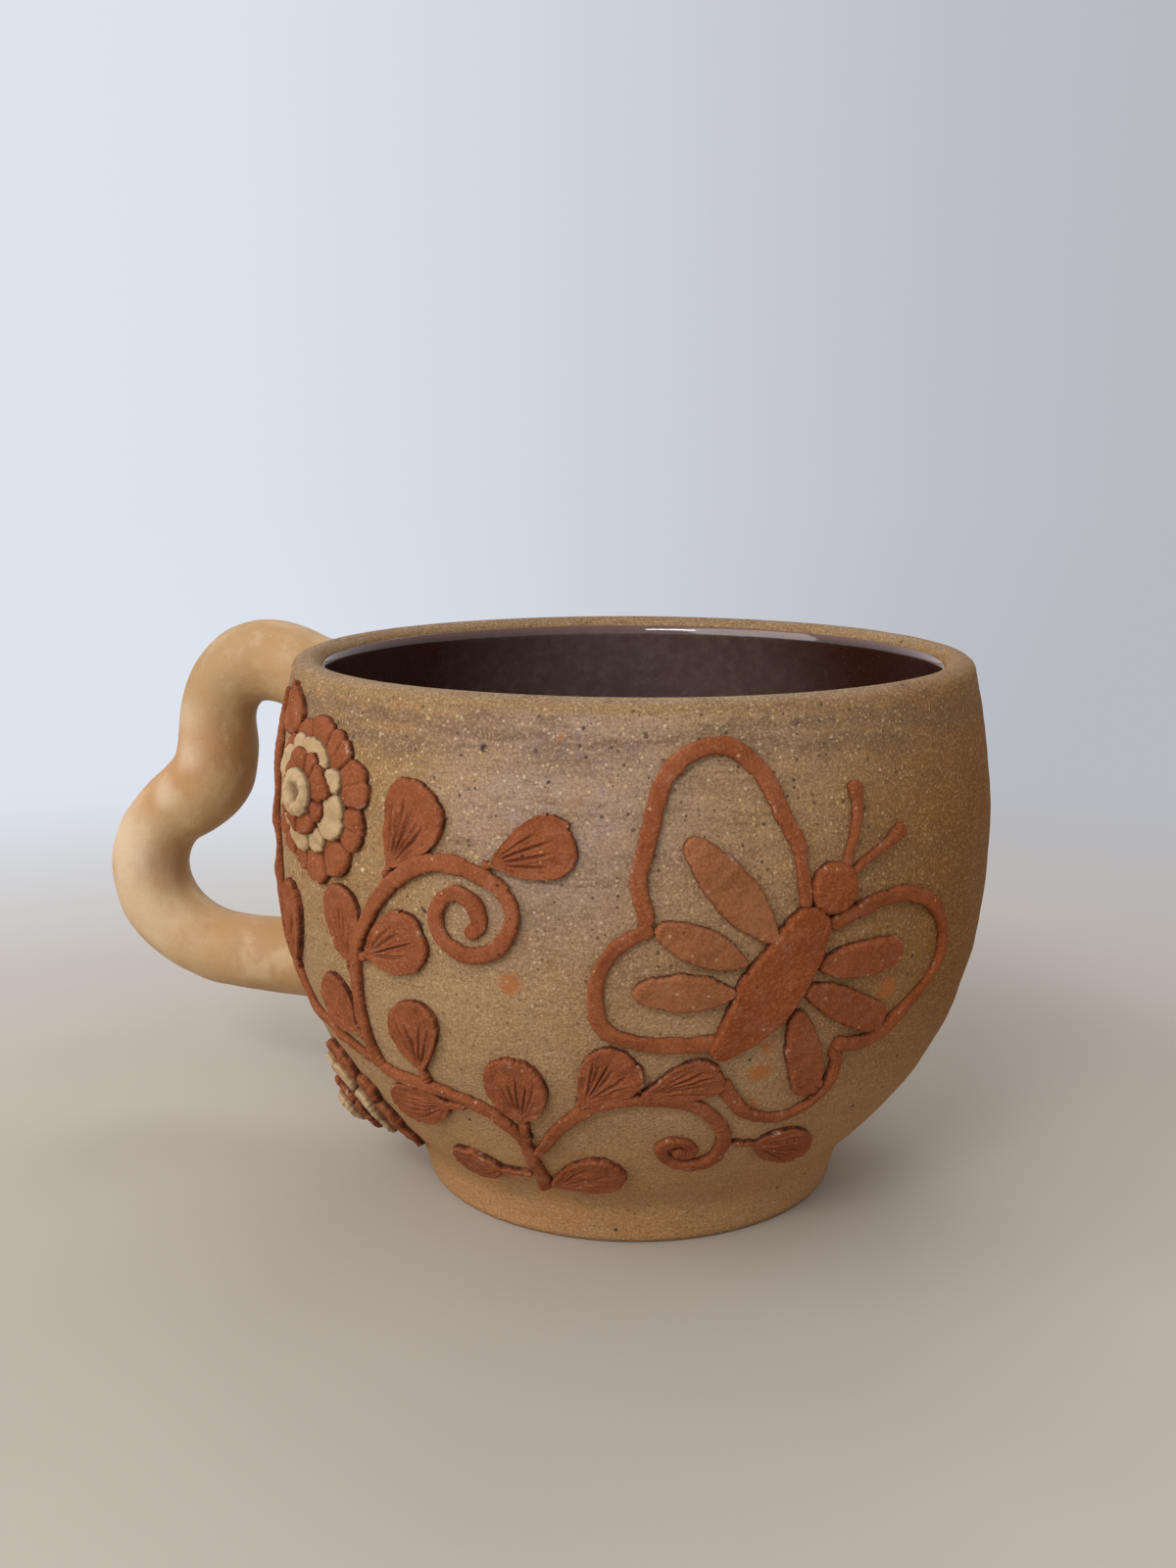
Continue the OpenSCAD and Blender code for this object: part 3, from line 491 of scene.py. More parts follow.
class Nodes:
    """Short calls that add nodes to a material or world. A value may be a number, a colour or an output."""

    def __init__(self, owner):
        self.owner = owner
        self.tree = owner.node_tree
        self.place = self.add("ShaderNodeTexCoord").outputs["Object"]
        self.colour = None

    def add(self, kind, sockets=(), **settings):
        """Node with settings, and with values on its sockets, which are a dictionary or in order."""
        node = self.tree.nodes.new(kind)
        for key, value in settings.items():
            setattr(node, key, value)
        for socket, value in sockets.items() if isinstance(sockets, dict) else enumerate(sockets):
            self.put(node.inputs[socket], value)
        return node

    def put(self, socket, value):
        if isinstance(value, bpy.types.NodeSocket):
            self.tree.links.new(value, socket)
        else:
            colour = socket.type == "RGBA" and len(value) == 3
            socket.default_value = (*value, 1) if colour else value

    def maths(self, operation, *values):
        return self.add("ShaderNodeMath", values, operation=operation).outputs[0]

    def times(self, first, *factors):
        for factor in factors:
            first = self.maths("MULTIPLY", first, factor)
        return first

    def total(self, first, *weighted):
        """A value with others added to it, each as [value, weight]."""
        for value, weight in weighted:
            first = self.maths("MULTIPLY_ADD", value, weight, first)
        return first

    def ramp(self, value, low, high, to_low=0.0, to_high=1.0):
        sockets = (value, low, high, to_low, to_high)
        return self.add("ShaderNodeMapRange", sockets, interpolation_type="SMOOTHSTEP").outputs[0]

    def mix(self, share, a, b, blend="MIX"):
        sockets = {0: share, 6: a, 7: b}
        return self.add("ShaderNodeMix", sockets, data_type="RGBA", blend_type=blend).outputs[2]

    def tint(self, colour, *masks, blend="MIX"):
        """Lay a colour over the material's own, as far as the masks let it."""
        self.colour = self.mix(self.times(*masks), self.colour, colour, blend)

    def vector(self, operation, other, output=0):
        return self.add("ShaderNodeVectorMath", (self.place, other), operation=operation).outputs[output]

    def noise(self, size, detail=3.0, roughness=0.55, at=None, distortion=0.0):
        """Noise with features of about the given size in millimetres of the 80 mm mug."""
        return self.add("ShaderNodeTexNoise", {
            "Vector": at or self.place, "Scale": 1 / (size * UNIT * MM), "Detail": detail,
            "Roughness": roughness, "Distortion": distortion,
        }).outputs["Fac"]

    def stretched(self, factors, size, detail, roughness):
        """Noise that is drawn out along the axes with low factors."""
        return self.noise(size, detail, roughness, self.vector("MULTIPLY", factors))

    def specks(self, cell, low, high, share):
        """Mask of specks, one in some cells of the given size, and a random value for each."""
        cells = self.add("ShaderNodeTexVoronoi", {"Vector": self.place, "Scale": 1 / (cell * UNIT * MM)})
        size, chance, kind = self.add("ShaderNodeSeparateColor", (cells.outputs["Color"],)).outputs
        inside = self.maths("LESS_THAN", cells.outputs["Distance"], self.ramp(size, 0, 1, low, high))
        return self.times(inside, self.maths("LESS_THAN", chance, share)), kind

    def attribute(self, name):
        return self.add("ShaderNodeAttribute", attribute_name=name).outputs["Fac"]

    def dot(self, way):
        """Distance along a direction, in metres."""
        return self.vector("DOT_PRODUCT", way, "Value")

    def near(self, point, radius, softness):
        """Mask that is 1 near a point and fades to 0 at the radius, both in millimetres."""
        distance = self.vector("DISTANCE", [float(c) * MM for c in point], "Value")
        return self.ramp(distance, radius * MM, radius * MM * (1 - softness))

    def near_clay(self, angle, z, radius, softness):
        """The same round a point of the wall, with lengths in millimetres of the 80 mm mug."""
        return self.near(on_clay(angle, z), radius * UNIT, softness)

    def seen(self):
        """1 for the rays that show the background, straight or in a reflection."""
        path = self.add("ShaderNodeLightPath")
        total = self.maths("ADD", path.outputs["Is Camera Ray"], path.outputs["Is Glossy Ray"])
        return self.maths("MINIMUM", self.maths("ADD", total, path.outputs["Is Transmission Ray"]), 1)

    def finish(self, relief, depth, roughness, specular, coat=0.0, coat_roughness=0.1):
        """Finished material, with its colour and with bumps of the given depth in millimetres."""
        bump = self.add("ShaderNodeBump", {"Strength": 1, "Distance": depth * UNIT * MM, "Height": relief})
        self.show(self.add("ShaderNodeBsdfPrincipled", {
            "Base Color": self.colour, "Roughness": roughness, "Specular IOR Level": specular,
            "Coat Weight": coat, "Coat Roughness": coat_roughness, "Normal": bump.outputs[0],
        }))
        return self.owner

    def show(self, shader):
        self.add("ShaderNodeOutputMaterial", {"Surface": shader.outputs[0]})


def new_material(name):
    material = bpy.data.materials.new(name)
    material.use_nodes = True
    material.node_tree.nodes.clear()
    return Nodes(material)


# Marks on the wall: [angle, height, radius, kind], both lengths in millimetres of the 80 mm mug
WALL_MARKS = [
    (-53.5, 31.4, 2.2, "rust"), (-53, 35, 1.5, "rust"), (-54, 26, 1.8, "rust"),
    (-33.9, 40.4, 2.4, "rust"), (-89.3, 43.9, 2.0, "rust"), (-82.5, 74.5, 0.6, "rust"),
    (-93.5, 72.9, 0.75, "soot"), (-88, 61, 0.4, "soot"), (-84, 69.3, 0.4, "soot"),
    (-79.5, 75.8, 0.35, "soot"), (-50, 76, 0.5, "soot"), (-102, 52, 0.45, "soot"),
]
MARK_LOOKS = {"rust": ((0.380, 0.125, 0.035), 0.9), "soot": ((0.050, 0.030, 0.030), 0.95)}


def wall_material():
    """Sandy clay full of grog: golden, with a painted sheen above the scroll, ochre deepened by painted
    shade on its right, ochre at the foot, sooty under the lip.
    """
    n = new_material("buff_clay")
    z = n.attribute("height")
    streaks = n.stretched((0.16, 0.16, 1.3), 3.0, 4, 0.6)
    scratches = n.stretched((0.14, 0.14, 1), 0.5, 3, 0.7)
    # the mug's right side: its ochre tone is partly real and partly painted shade
    right = n.near_clay(-2, 52, 52, 0.75)
    thrown = n.ramp(z, 28, 62, 0.25, 1)
    patches = n.noise(22, 3, 0.6, distortion=0.6)
    cloud = n.noise(5, 4, 0.65)
    n.colour = n.mix(n.ramp(patches, 0.35, 0.68), (0.360, 0.225, 0.113), (0.318, 0.182, 0.084))
    n.tint((0.290, 0.158, 0.058), n.near_clay(-118, 66, 32, 0.8), n.ramp(cloud, 0.3, 0.6, 0.6, 1), 0.85)
    # ochre tone on the right, deepened as painted shade
    n.tint((0.195, 0.083, 0.014), right, 0.9)
    n.tint((0.215, 0.128, 0.070), n.near_clay(-86, 54, 19, 0.9), n.ramp(cloud, 0.3, 0.6, 0.5, 1), 0.5)
    n.tint((0.445, 0.218, 0.078), n.ramp(z, 32, 9), n.ramp(cloud, 0.3, 0.65, 0.55, 1), 0.9)
    # painted sheen: a pale grey patch, broken by cloud noise, where the wall catches the light above the
    # scroll
    n.tint((0.330, 0.240, 0.200), n.near_clay(-82, 67, 25, 0.85), n.ramp(cloud, 0.3, 0.62, 0.4, 1), 0.85)
    edge = n.maths("ADD", z, n.ramp(cloud, 0.2, 0.8, -1.8, 1.8))
    soot_and_crevice_shade = n.times(n.ramp(edge, 70.5, 74.5), n.ramp(edge, 78, 76.3), n.ramp(streaks, 0.38, 0.56, 0.25, 1))
    n.tint((0.135, 0.088, 0.066), soot_and_crevice_shade, 0.6)
    n.tint((0.275, 0.166, 0.075), n.ramp(z, 77.9, 78.6), 0.85)
    crest = n.mix(n.near_clay(107, 79, 46, 0.8), (0.262, 0.176, 0.112), (0.205, 0.128, 0.078))
    n.tint(crest, n.ramp(z, 79.2, 79.8, 0, 0.85))
    n.tint((0.190, 0.112, 0.058), n.ramp(streaks, 0.45, 0.7, 0, 0.5), thrown)
    n.tint((0.150, 0.086, 0.045), n.ramp(scratches, 0.52, 0.72, 0, 0.55), thrown)
    n.tint((0.430, 0.290, 0.150), n.ramp(scratches, 0.45, 0.25, 0, 0.4))
    grain = n.noise(0.36, 2, 0.75)
    n.tint((0.530, 0.385, 0.235), n.ramp(grain, 0.5, 0.68, 0, 0.5))
    n.tint((0.120, 0.070, 0.040), n.ramp(grain, 0.48, 0.3, 0, 0.55))
    # painted shade: the right side darkened and warmed
    n.tint((0.94, 0.80, 0.55), right, 0.9, blend="MULTIPLY")
    sandy = n.times(n.ramp(z, 20, 64, 0.3, 1), n.ramp(z, 79.6, 78.4, 0.2, 1))
    # fewer pale specks on the right, in its painted shade
    sandy = n.times(sandy, n.ramp(right, 0.2, 1, 1, 0.4))
    pale, kind = n.specks(0.58, 0.05, 0.38, 0.3)
    yellow = n.maths("GREATER_THAN", kind, 0.6)
    n.tint(n.mix(yellow, (0.56, 0.44, 0.31), (0.60, 0.43, 0.17)), pale, 0.65, sandy)
    white, _ = n.specks(2.6, 0.03, 0.12, 0.3)
    n.tint((0.66, 0.58, 0.44), white, n.ramp(sandy, 0.3, 1, 0.2, 0.8))
    dark, _ = n.specks(0.75, 0.05, 0.34, 0.17)
    n.tint((0.075, 0.046, 0.036), dark, n.ramp(sandy, 0.3, 1, 0.3, 0.75))
    pits, _ = n.specks(2.6, 0.03, 0.13, 0.2)
    n.tint((0.045, 0.028, 0.026), pits, 0.85)
    broken = n.ramp(n.noise(1.2, 3, 0.7), 0.38, 0.55)
    for angle, height, radius, kind in WALL_MARKS:
        tint, strength = MARK_LOOKS[kind]
        n.tint(tint, n.near_clay(angle, height, radius, 0.6), broken, strength)
    relief = n.total(n.noise(0.5, 3, 0.7), (scratches, 0.5), (pits, -0.8), (dark, -0.4), (white, 0.35))
    return n.finish(relief, 0.2, 0.88, 0.14)


# Patches on the handle, orange-brown ones, painted shade on its inner side and painted highlights on its
# outer side: [point, radius, colour, strength], lengths in millimetres of the 80 mm mug
HANDLE_PATCHES_SHADE_AND_HIGHLIGHTS = [
    ((-72, -2, 80), 19, (0.385, 0.240, 0.112), 0.8), ((-62, -5, 26), 13, (0.380, 0.215, 0.095), 0.7),
    ((-77, -4, 60), 9, (0.430, 0.198, 0.072), 0.8), ((-83, -4, 53), 6, (0.450, 0.235, 0.095), 0.8),
    # painted shade on the handle's inner side, towards the mug
    ((-79.5, -4, 41), 7, (0.330, 0.140, 0.045), 0.95), ((-67, -4, 62), 8, (0.330, 0.165, 0.065), 0.85),
    # painted highlights: pale patches on the handle's outer side, where the window light falls
    ((-88, -5, 43), 13, (0.680, 0.520, 0.370), 0.8), ((-82, -5.5, 31), 11, (0.620, 0.440, 0.275), 0.75),
    ((-74, -6, 67), 5, (0.600, 0.440, 0.300), 0.6), ((-73.5, -6, 61), 4.5, (0.600, 0.430, 0.300), 0.8),
    ((-78, -5, 54), 4, (0.640, 0.470, 0.350), 0.75),
]


def handle_material():
    """Smoothed tan clay with orange-brown patches, painted shade on its inner side and painted highlights on
    its outer side.
    """
    n = new_material("handle_clay")
    patches = n.noise(9, 3, 0.6)
    brushed = n.stretched((0.5, 1, 0.35), 2.6, 4, 0.6)
    n.colour = n.mix(n.ramp(patches, 0.38, 0.62), (0.475, 0.305, 0.150), (0.435, 0.262, 0.118))
    for point, radius, tint, strength in HANDLE_PATCHES_SHADE_AND_HIGHLIGHTS:
        near = n.near(np.array(point) * UNIT, radius * UNIT, 0.85)
        n.tint(tint, near, n.ramp(brushed, 0.3, 0.6, 0.6 * strength, strength))
    n.tint((0.590, 0.425, 0.262), n.ramp(brushed, 0.48, 0.7, 0, 0.45))
    n.tint((0.380, 0.200, 0.080), n.ramp(brushed, 0.45, 0.25, 0, 0.4))
    n.tint((0.28, 0.16, 0.075), n.ramp(n.noise(0.35, 2, 0.6), 0.55, 0.8, 0, 0.25))
    n.tint((0.65, 0.5, 0.33), n.specks(0.9, 0.05, 0.2, 0.2)[0], 0.3)
    return n.finish(n.total(n.noise(0.6, 3, 0.6), (brushed, 0.6)), 0.1, 0.55, 0.22)


def red_material(name, tone):
    """Terracotta clay with painted shade in its crevices and grooves, a pale bloom on top, smears of slip at
    its edges, and painted shade on the mug's right side.
    """
    n = new_material(name)
    edge, groove = n.attribute("edge"), n.attribute("groove")
    patches = n.noise(6, 3, 0.6, distortion=0.5)
    darker = tuple(c * k for c, k in zip(tone, (0.84, 0.77, 0.72)))
    n.colour = n.mix(n.ramp(patches, 0.35, 0.68), tone, darker)
    n.tint((0.340, 0.146, 0.082), n.ramp(n.noise(2.6, 4, 0.7), 0.5, 0.75, 0, 0.45))
    grain = n.noise(0.34, 2, 0.75)
    n.tint((0.405, 0.172, 0.092), n.ramp(grain, 0.5, 0.72, 0, 0.45))
    n.tint((0.115, 0.034, 0.015), n.ramp(grain, 0.48, 0.28, 0, 0.5))
    n.tint((0.52, 0.32, 0.20), n.specks(0.85, 0.05, 0.28, 0.14)[0], 0.5)
    # painted shade in the grooves of veins, creases and holes
    n.tint((0.120, 0.036, 0.018), n.ramp(groove, 0.1, 1, 0, 0.6))
    smear = n.times(n.ramp(edge, 0.1, 0.6), n.ramp(n.noise(2.4, 3, 0.6), 0.60, 0.70))
    n.tint((0.52, 0.38, 0.30), smear, n.ramp(n.noise(0.5, 3, 0.6), 0.4, 0.6), 0.7)
    # painted shade: near-black along the undercut edges where the pieces meet the wall, broken up by noise
    soot_and_crevice_shade = n.ramp(n.noise(1.8, 3, 0.7), 0.4, 0.58, 0.3, 1)
    n.tint((0.045, 0.018, 0.012), n.ramp(edge, 0.84, 1, 0, 0.85), soot_and_crevice_shade)
    # towards the mug's right: partly a warmer tone and partly painted shade
    n.tint((0.96, 0.82, 0.60), n.near_clay(-2, 46, 52, 0.75), 0.9, blend="MULTIPLY")
    pits, _ = n.specks(1.5, 0.03, 0.14, 0.16)
    n.tint((0.07, 0.02, 0.012), pits, 0.8)
    return n.finish(n.total(n.noise(0.45, 3, 0.7), (pits, -0.8)), 0.15, 0.9, 0.1)


def petal_material():
    """Pale buff clay of the flowers' middle petals and buttons, with painted shade in its creases, holes and
    undercut edges.
    """
    n = new_material("petal_clay")
    n.colour = n.mix(n.ramp(n.noise(4, 3, 0.6), 0.35, 0.7), (0.470, 0.330, 0.190), (0.400, 0.262, 0.135))
    grain = n.noise(0.3, 2, 0.65)
    n.tint((0.60, 0.47, 0.31), n.ramp(grain, 0.5, 0.8, 0, 0.35))
    n.tint((0.22, 0.13, 0.065), n.ramp(grain, 0.45, 0.2, 0, 0.35))
    # painted shade in the creases and the button's hole
    n.tint((0.13, 0.07, 0.035), n.ramp(n.attribute("groove"), 0.2, 1, 0, 0.8))
    # painted shade along the undercut edges
    n.tint((0.10, 0.05, 0.025), n.ramp(n.attribute("edge"), 0.8, 1, 0, 0.6))
    return n.finish(n.noise(0.5, 3, 0.65), 0.13, 0.9, 0.1)


def glaze_material():
    """Glossy dark brown glaze, redder and thinner at the line under the lip, painted lit on the back wall
    and in deep painted shade elsewhere.
    """
    n = new_material("brown_glaze")
    z = n.attribute("height")
    mottle = n.noise(2.2, 4, 0.65)
    lit = n.mix(n.ramp(mottle, 0.35, 0.7), (0.088, 0.055, 0.047), (0.115, 0.078, 0.067))
    # painted light and shade: the back wall is painted lit, and the rest of the inside near-black as painted
    # shade
    n.colour = n.mix(n.near_clay(107, 62, 52, 0.75), (0.030, 0.008, 0.004), lit)
    n.tint((0.22, 0.16, 0.145), n.ramp(n.noise(0.45, 2, 0.6), 0.58, 0.8, 0, 0.25))
    n.tint((0.16, 0.055, 0.035), n.ramp(z, 77.2, 78.4), 0.7)
    roughness = n.times(n.ramp(mottle, 0.3, 0.7, 0.18, 0.3), n.ramp(z, 74, 77, 1, 0.4))
    return n.finish(n.noise(1.6, 2, 0.5), 0.03, roughness, 0.5, coat=0.6, coat_roughness=0.04)


BUFF = wall_material()
HANDLE = handle_material()
RED = red_material("red_clay", (0.265, 0.080, 0.031))
DEEP_RED = red_material("deep_red_clay", (0.240, 0.064, 0.020))
PALE_RED = red_material("pale_red_clay", (0.292, 0.111, 0.048))
PETAL = petal_material()
GLAZE = glaze_material()


# Cup and glaze

def lathe(name, profile, cols, node, material, wobbly):
    """Turned solid from a closed profile [radius, height], whose first and last points are on the axis."""
    angle = ring_angles(cols)
    out = np.stack([np.cos(angle), np.sin(angle), np.zeros(cols)], -1)
    up = np.array([0, 0, 1])
    points = profile[1:-1, 0, None, None] * out + profile[1:-1, 1, None, None] * up
    points = points + out * (wobbled(points) * wobbly[1:-1, None])[..., None]
    heights = np.append(points[..., 2], profile[[0, -1], 1]) / UNIT
    points[..., 2] += lip_lift(angle, points[..., 2])
    points, faces = capped(points, profile[[0, -1], 1:] * up)
    make_piece(name, points, faces, node, material, {"height": heights})


def cup():
    bevel = 0.8 * UNIT
    recess_r = FOOT_R - FOOT_RING_W
    under = [
        (0, FOOT_RECESS), (recess_r * 0.5, FOOT_RECESS), (recess_r - bevel, FOOT_RECESS),
        (recess_r, FOOT_RECESS - bevel), (recess_r, bevel), (recess_r + 0.3 * bevel, 0.25 * bevel),
        (recess_r + bevel, 0), (FOOT_R - bevel, 0), (FOOT_R - 0.35 * bevel, 0.25 * bevel),
    ]
    outer_z = np.linspace(bevel, RIM_Z, 116)
    lip_angle = np.radians(np.arange(12, 180, 12))
    lip_r = RIM_R - WALL_T / 2 + WALL_T / 2 * np.cos(lip_angle)
    inner_z = (FLOOR_Z + (RIM_Z - FLOOR_Z) * np.linspace(1, 0, 36) ** 2.2)[:-1]
    outer = np.stack([wall_r(outer_z), outer_z], -1)
    lip = np.stack([lip_r, RIM_Z + LIP_H * np.sin(lip_angle)], -1)
    outside = np.concatenate([under, outer, lip])
    inner = np.stack([cavity_r(inner_z), inner_z], -1)
    profile = np.concatenate([outside, inner, [(20 * UNIT, FLOOR_Z), (0, FLOOR_Z)]])
    wobbly = np.interp(profile[:, 1], [0, 2 * UNIT, 6 * UNIT], [0, 0.6, 1])
    wobbly[len(outside):] *= INSIDE_WOBBLY
    lathe("cup_wall", profile, CUP_COLUMNS, "cup_body", BUFF, wobbly)


def glaze():
    top = MUG_H - GLAZE_DROP
    low = FLOOR_Z + GLAZE_GAP
    z = FLOOR_Z + (top - FLOOR_Z) * np.linspace(1, 0, 60) ** 1.6
    back = np.stack([cavity_r(z) - GLAZE_GAP, z], -1)
    thick = GLAZE_T * rounded(top - z + 0.15 * UNIT, 1.2 * UNIT)
    face = back + thick[:, None] * right_of(direction(back))
    face[:, 0] = np.minimum(face[:, 0], back[:, 0])
    profile = np.concatenate([[(0, low)], back[-2::-1], face[:-1], [(0, low + GLAZE_T)]])
    profile[:, 1] = np.maximum(profile[:, 1], low)
    wobbly = np.full(len(profile), INSIDE_WOBBLY)
    lathe("inside_glaze", profile, GLAZE_COLUMNS, "interior_glaze", GLAZE, wobbly)


# Handle

# Centre line of the handle: [share of the reach beyond the belly, share of the rise, share of the radius]
HANDLE_LINE = [
    (-0.06, 0.93, 1.03), (0.014, 0.957, 1.03), (0.075, 0.978, 1.03), (0.15, 0.993, 1.03), (0.28, 1, 1.02),
    (0.41, 0.975, 1), (0.505, 0.91, 0.98), (0.555, 0.82, 0.98), (0.558, 0.695, 1.04), (0.6, 0.592, 1.1),
    (0.725, 0.518, 1.07), (0.845, 0.465, 1), (0.94, 0.385, 1), (0.99, 0.28, 1.02), (0.95, 0.16, 1.03),
    (0.82, 0.07, 1.02), (0.61, 0.01, 1), (0.37, 0, 1), (0.1, 0.005, 1.02), (-0.2, 0.0, 1.06),
]


def handle():
    size = [HANDLE_REACH - BELLY_R, HANDLE_TOP_Z - HANDLE_LOW_Z, TUBE_R]
    line = spline(np.array(HANDLE_LINE) * size + [BELLY_R, HANDLE_LOW_Z, 0], 0.7 * UNIT)
    # smoothing takes out the kinks between the listed points
    for _ in range(SMOOTHING_ROUNDS):
        line[1:-1] = 0.5 * line[1:-1] + 0.25 * (line[:-2] + line[2:])
    way = direction(line[:, :2])
    angle = ring_angles(HANDLE_COLUMNS)
    radius = line[:, 2:]
    out = radius * np.cos(angle)
    points = np.stack([
        way[:, 1:] * out - line[:, :1], np.broadcast_to(radius * np.sin(angle), out.shape),
        line[:, 1:2] + way[:, :1] * out,
    ], -1)
    centre = np.stack([-line[:, 0], np.zeros(len(line)), line[:, 1]], -1)[:, None]
    normal = (points - centre) / radius[..., None]
    bumps = layered(points, 61, HANDLE_BUMPS) - HANDLE_SET_BACK
    points = points + normal * (UNIT * bumps)[..., None]
    # flared where the clay is luted on to the wall
    gap = np.hypot(points[..., 0], points[..., 1]) - wall_r(np.clip(points[..., 2], 0, MUG_H))
    flare = np.exp(-(np.clip(gap, 0, None) / (1.1 * UNIT)))
    spread = normal - np.array([1.0, 0, 0]) * normal[..., :1]
    points, faces = capped(points + spread * (0.55 * UNIT * flare)[..., None])
    # the hidden ends stop inside the wall, short of the glaze
    reach = np.hypot(points[:, 0], points[:, 1])
    limit = wall_r(np.clip(points[:, 2], 0, MUG_H)) - 0.55 * WALL_T
    inside = reach < limit
    points[inside, :2] *= (limit / np.maximum(reach, 1))[inside, None]
    make_piece("rolled_handle", points, faces, "handle", HANDLE, {})


# Butterfly

# Coil paths: [share of the wings' width to the right, share up, share of the coil's width]
WING_COILS = {
    "upper_left_wing_coil": [
        (-0.055, 0.218, 0.8), (-0.08, 0.257, 0.8), (-0.112, 0.29, 0.82), (-0.146, 0.326, 0.92),
        (-0.208, 0.365, 1), (-0.285, 0.416, 1.08), (-0.353, 0.445, 1.1), (-0.422, 0.447, 1.08),
        (-0.482, 0.403, 1.02), (-0.513, 0.333, 1), (-0.506, 0.252, 1.04), (-0.476, 0.158, 1.08),
        (-0.455, 0.078, 1.04), (-0.431, 0.038, 1), (-0.394, 0.004, 0.97), (-0.378, -0.014, 0.92),
    ],
    "lower_left_wing_coil": [
        (-0.366, -0.036, 0.9), (-0.394, -0.084, 0.9), (-0.408, -0.14, 0.9), (-0.402, -0.19, 0.92),
        (-0.372, -0.25, 0.95), (-0.327, -0.298, 0.95), (-0.272, -0.309, 0.95), (-0.202, -0.29, 0.95),
        (-0.132, -0.253, 0.95), (-0.088, -0.226, 1), (-0.062, -0.202, 1),
    ],
    "upper_right_wing_coil": [
        (0.054, 0.21, 1), (0.093, 0.26, 0.98), (0.133, 0.3, 0.96), (0.181, 0.336, 0.96),
        (0.251, 0.374, 0.98), (0.331, 0.39, 0.98), (0.411, 0.379, 0.96), (0.463, 0.344, 0.9),
        (0.488, 0.289, 0.8), (0.481, 0.219, 0.65), (0.446, 0.144, 0.7), (0.411, 0.074, 0.8),
        (0.379, 0.002, 0.9), (0.341, -0.028, 1), (0.306, -0.046, 1), (0.28, -0.055, 1),
    ],
    "lower_right_wing_coil": [
        (0.286, -0.082, 0.9), (0.312, -0.104, 0.82), (0.327, -0.142, 0.76), (0.336, -0.19, 0.7),
        (0.336, -0.25, 0.7), (0.298, -0.309, 0.75), (0.238, -0.337, 0.85), (0.168, -0.338, 0.95),
        (0.098, -0.311, 1), (0.066, -0.292, 1),
    ],
    "left_antenna": [
        (0.001, 0.35, 0.5), (-0.014, 0.417, 0.52), (-0.038, 0.478, 0.6), (-0.062, 0.509, 0.8),
        (-0.071, 0.52, 0.95),
    ],
    "right_antenna": [
        (0.034, 0.345, 0.5), (0.056, 0.391, 0.5), (0.09, 0.44, 0.55), (0.114, 0.48, 0.75),
        (0.123, 0.495, 0.9),
    ],
}
# Wing petals: [base and tip as shares of the wings' width right and up, share of the petals' width, seed]
WING_PETALS = {
    "upper_left_wing_petal": (-0.06, 0.094, -0.398, 0.206, 1.2, 180),
    "middle_left_wing_petal": (-0.1, 0.016, -0.352, -0.018, 1.02, 185),
    "lower_left_wing_petal": (-0.082, -0.058, -0.31, -0.184, 1.04, 190),
    "upper_right_wing_petal": (0.074, 0.096, 0.304, 0.24, 1.04, 195),
    "middle_right_wing_petal": (0.076, 0.032, 0.37, 0.052, 1.02, 200),
    "lower_right_wing_petal": (0.088, -0.026, 0.306, -0.218, 1.02, 205),
}
# Half widths from base to tip, as shares, and the clay: the petals of the right wings have blunt tips
WING_PETAL_LOOKS = {
    "left": ([0.12, 0.5, 0.82, 0.97, 1, 0.97, 0.86, 0.68, 0.45], PALE_RED),
    "right": ([0.35, 0.62, 0.86, 0.97, 1, 1, 0.98, 0.93, 0.86], RED),
}
# Sides of the body from top to tail: [share of its length down, then left and right as shares of its width]
BODY_SIDES = [
    (0, -0.1, 0.07), (0.035, -0.3, 0.2), (0.13, -0.43, 0.3), (0.25, -0.46, 0.38), (0.36, -0.49, 0.42),
    (0.46, -0.54, 0.44), (0.56, -0.54, 0.43), (0.66, -0.48, 0.4), (0.76, -0.42, 0.33), (0.86, -0.37, 0.21),
    (0.94, -0.33, 0.09), (0.985, -0.29, 0), (1, -0.2, -0.08),
]
BODY_TOP = BODY_L * 0.515
BODY_REACH = BODY_L * 1.05
HEAD_MIDDLE = (-0.002 * BUTTERFLY_W, 0.282 * BUTTERFLY_W)


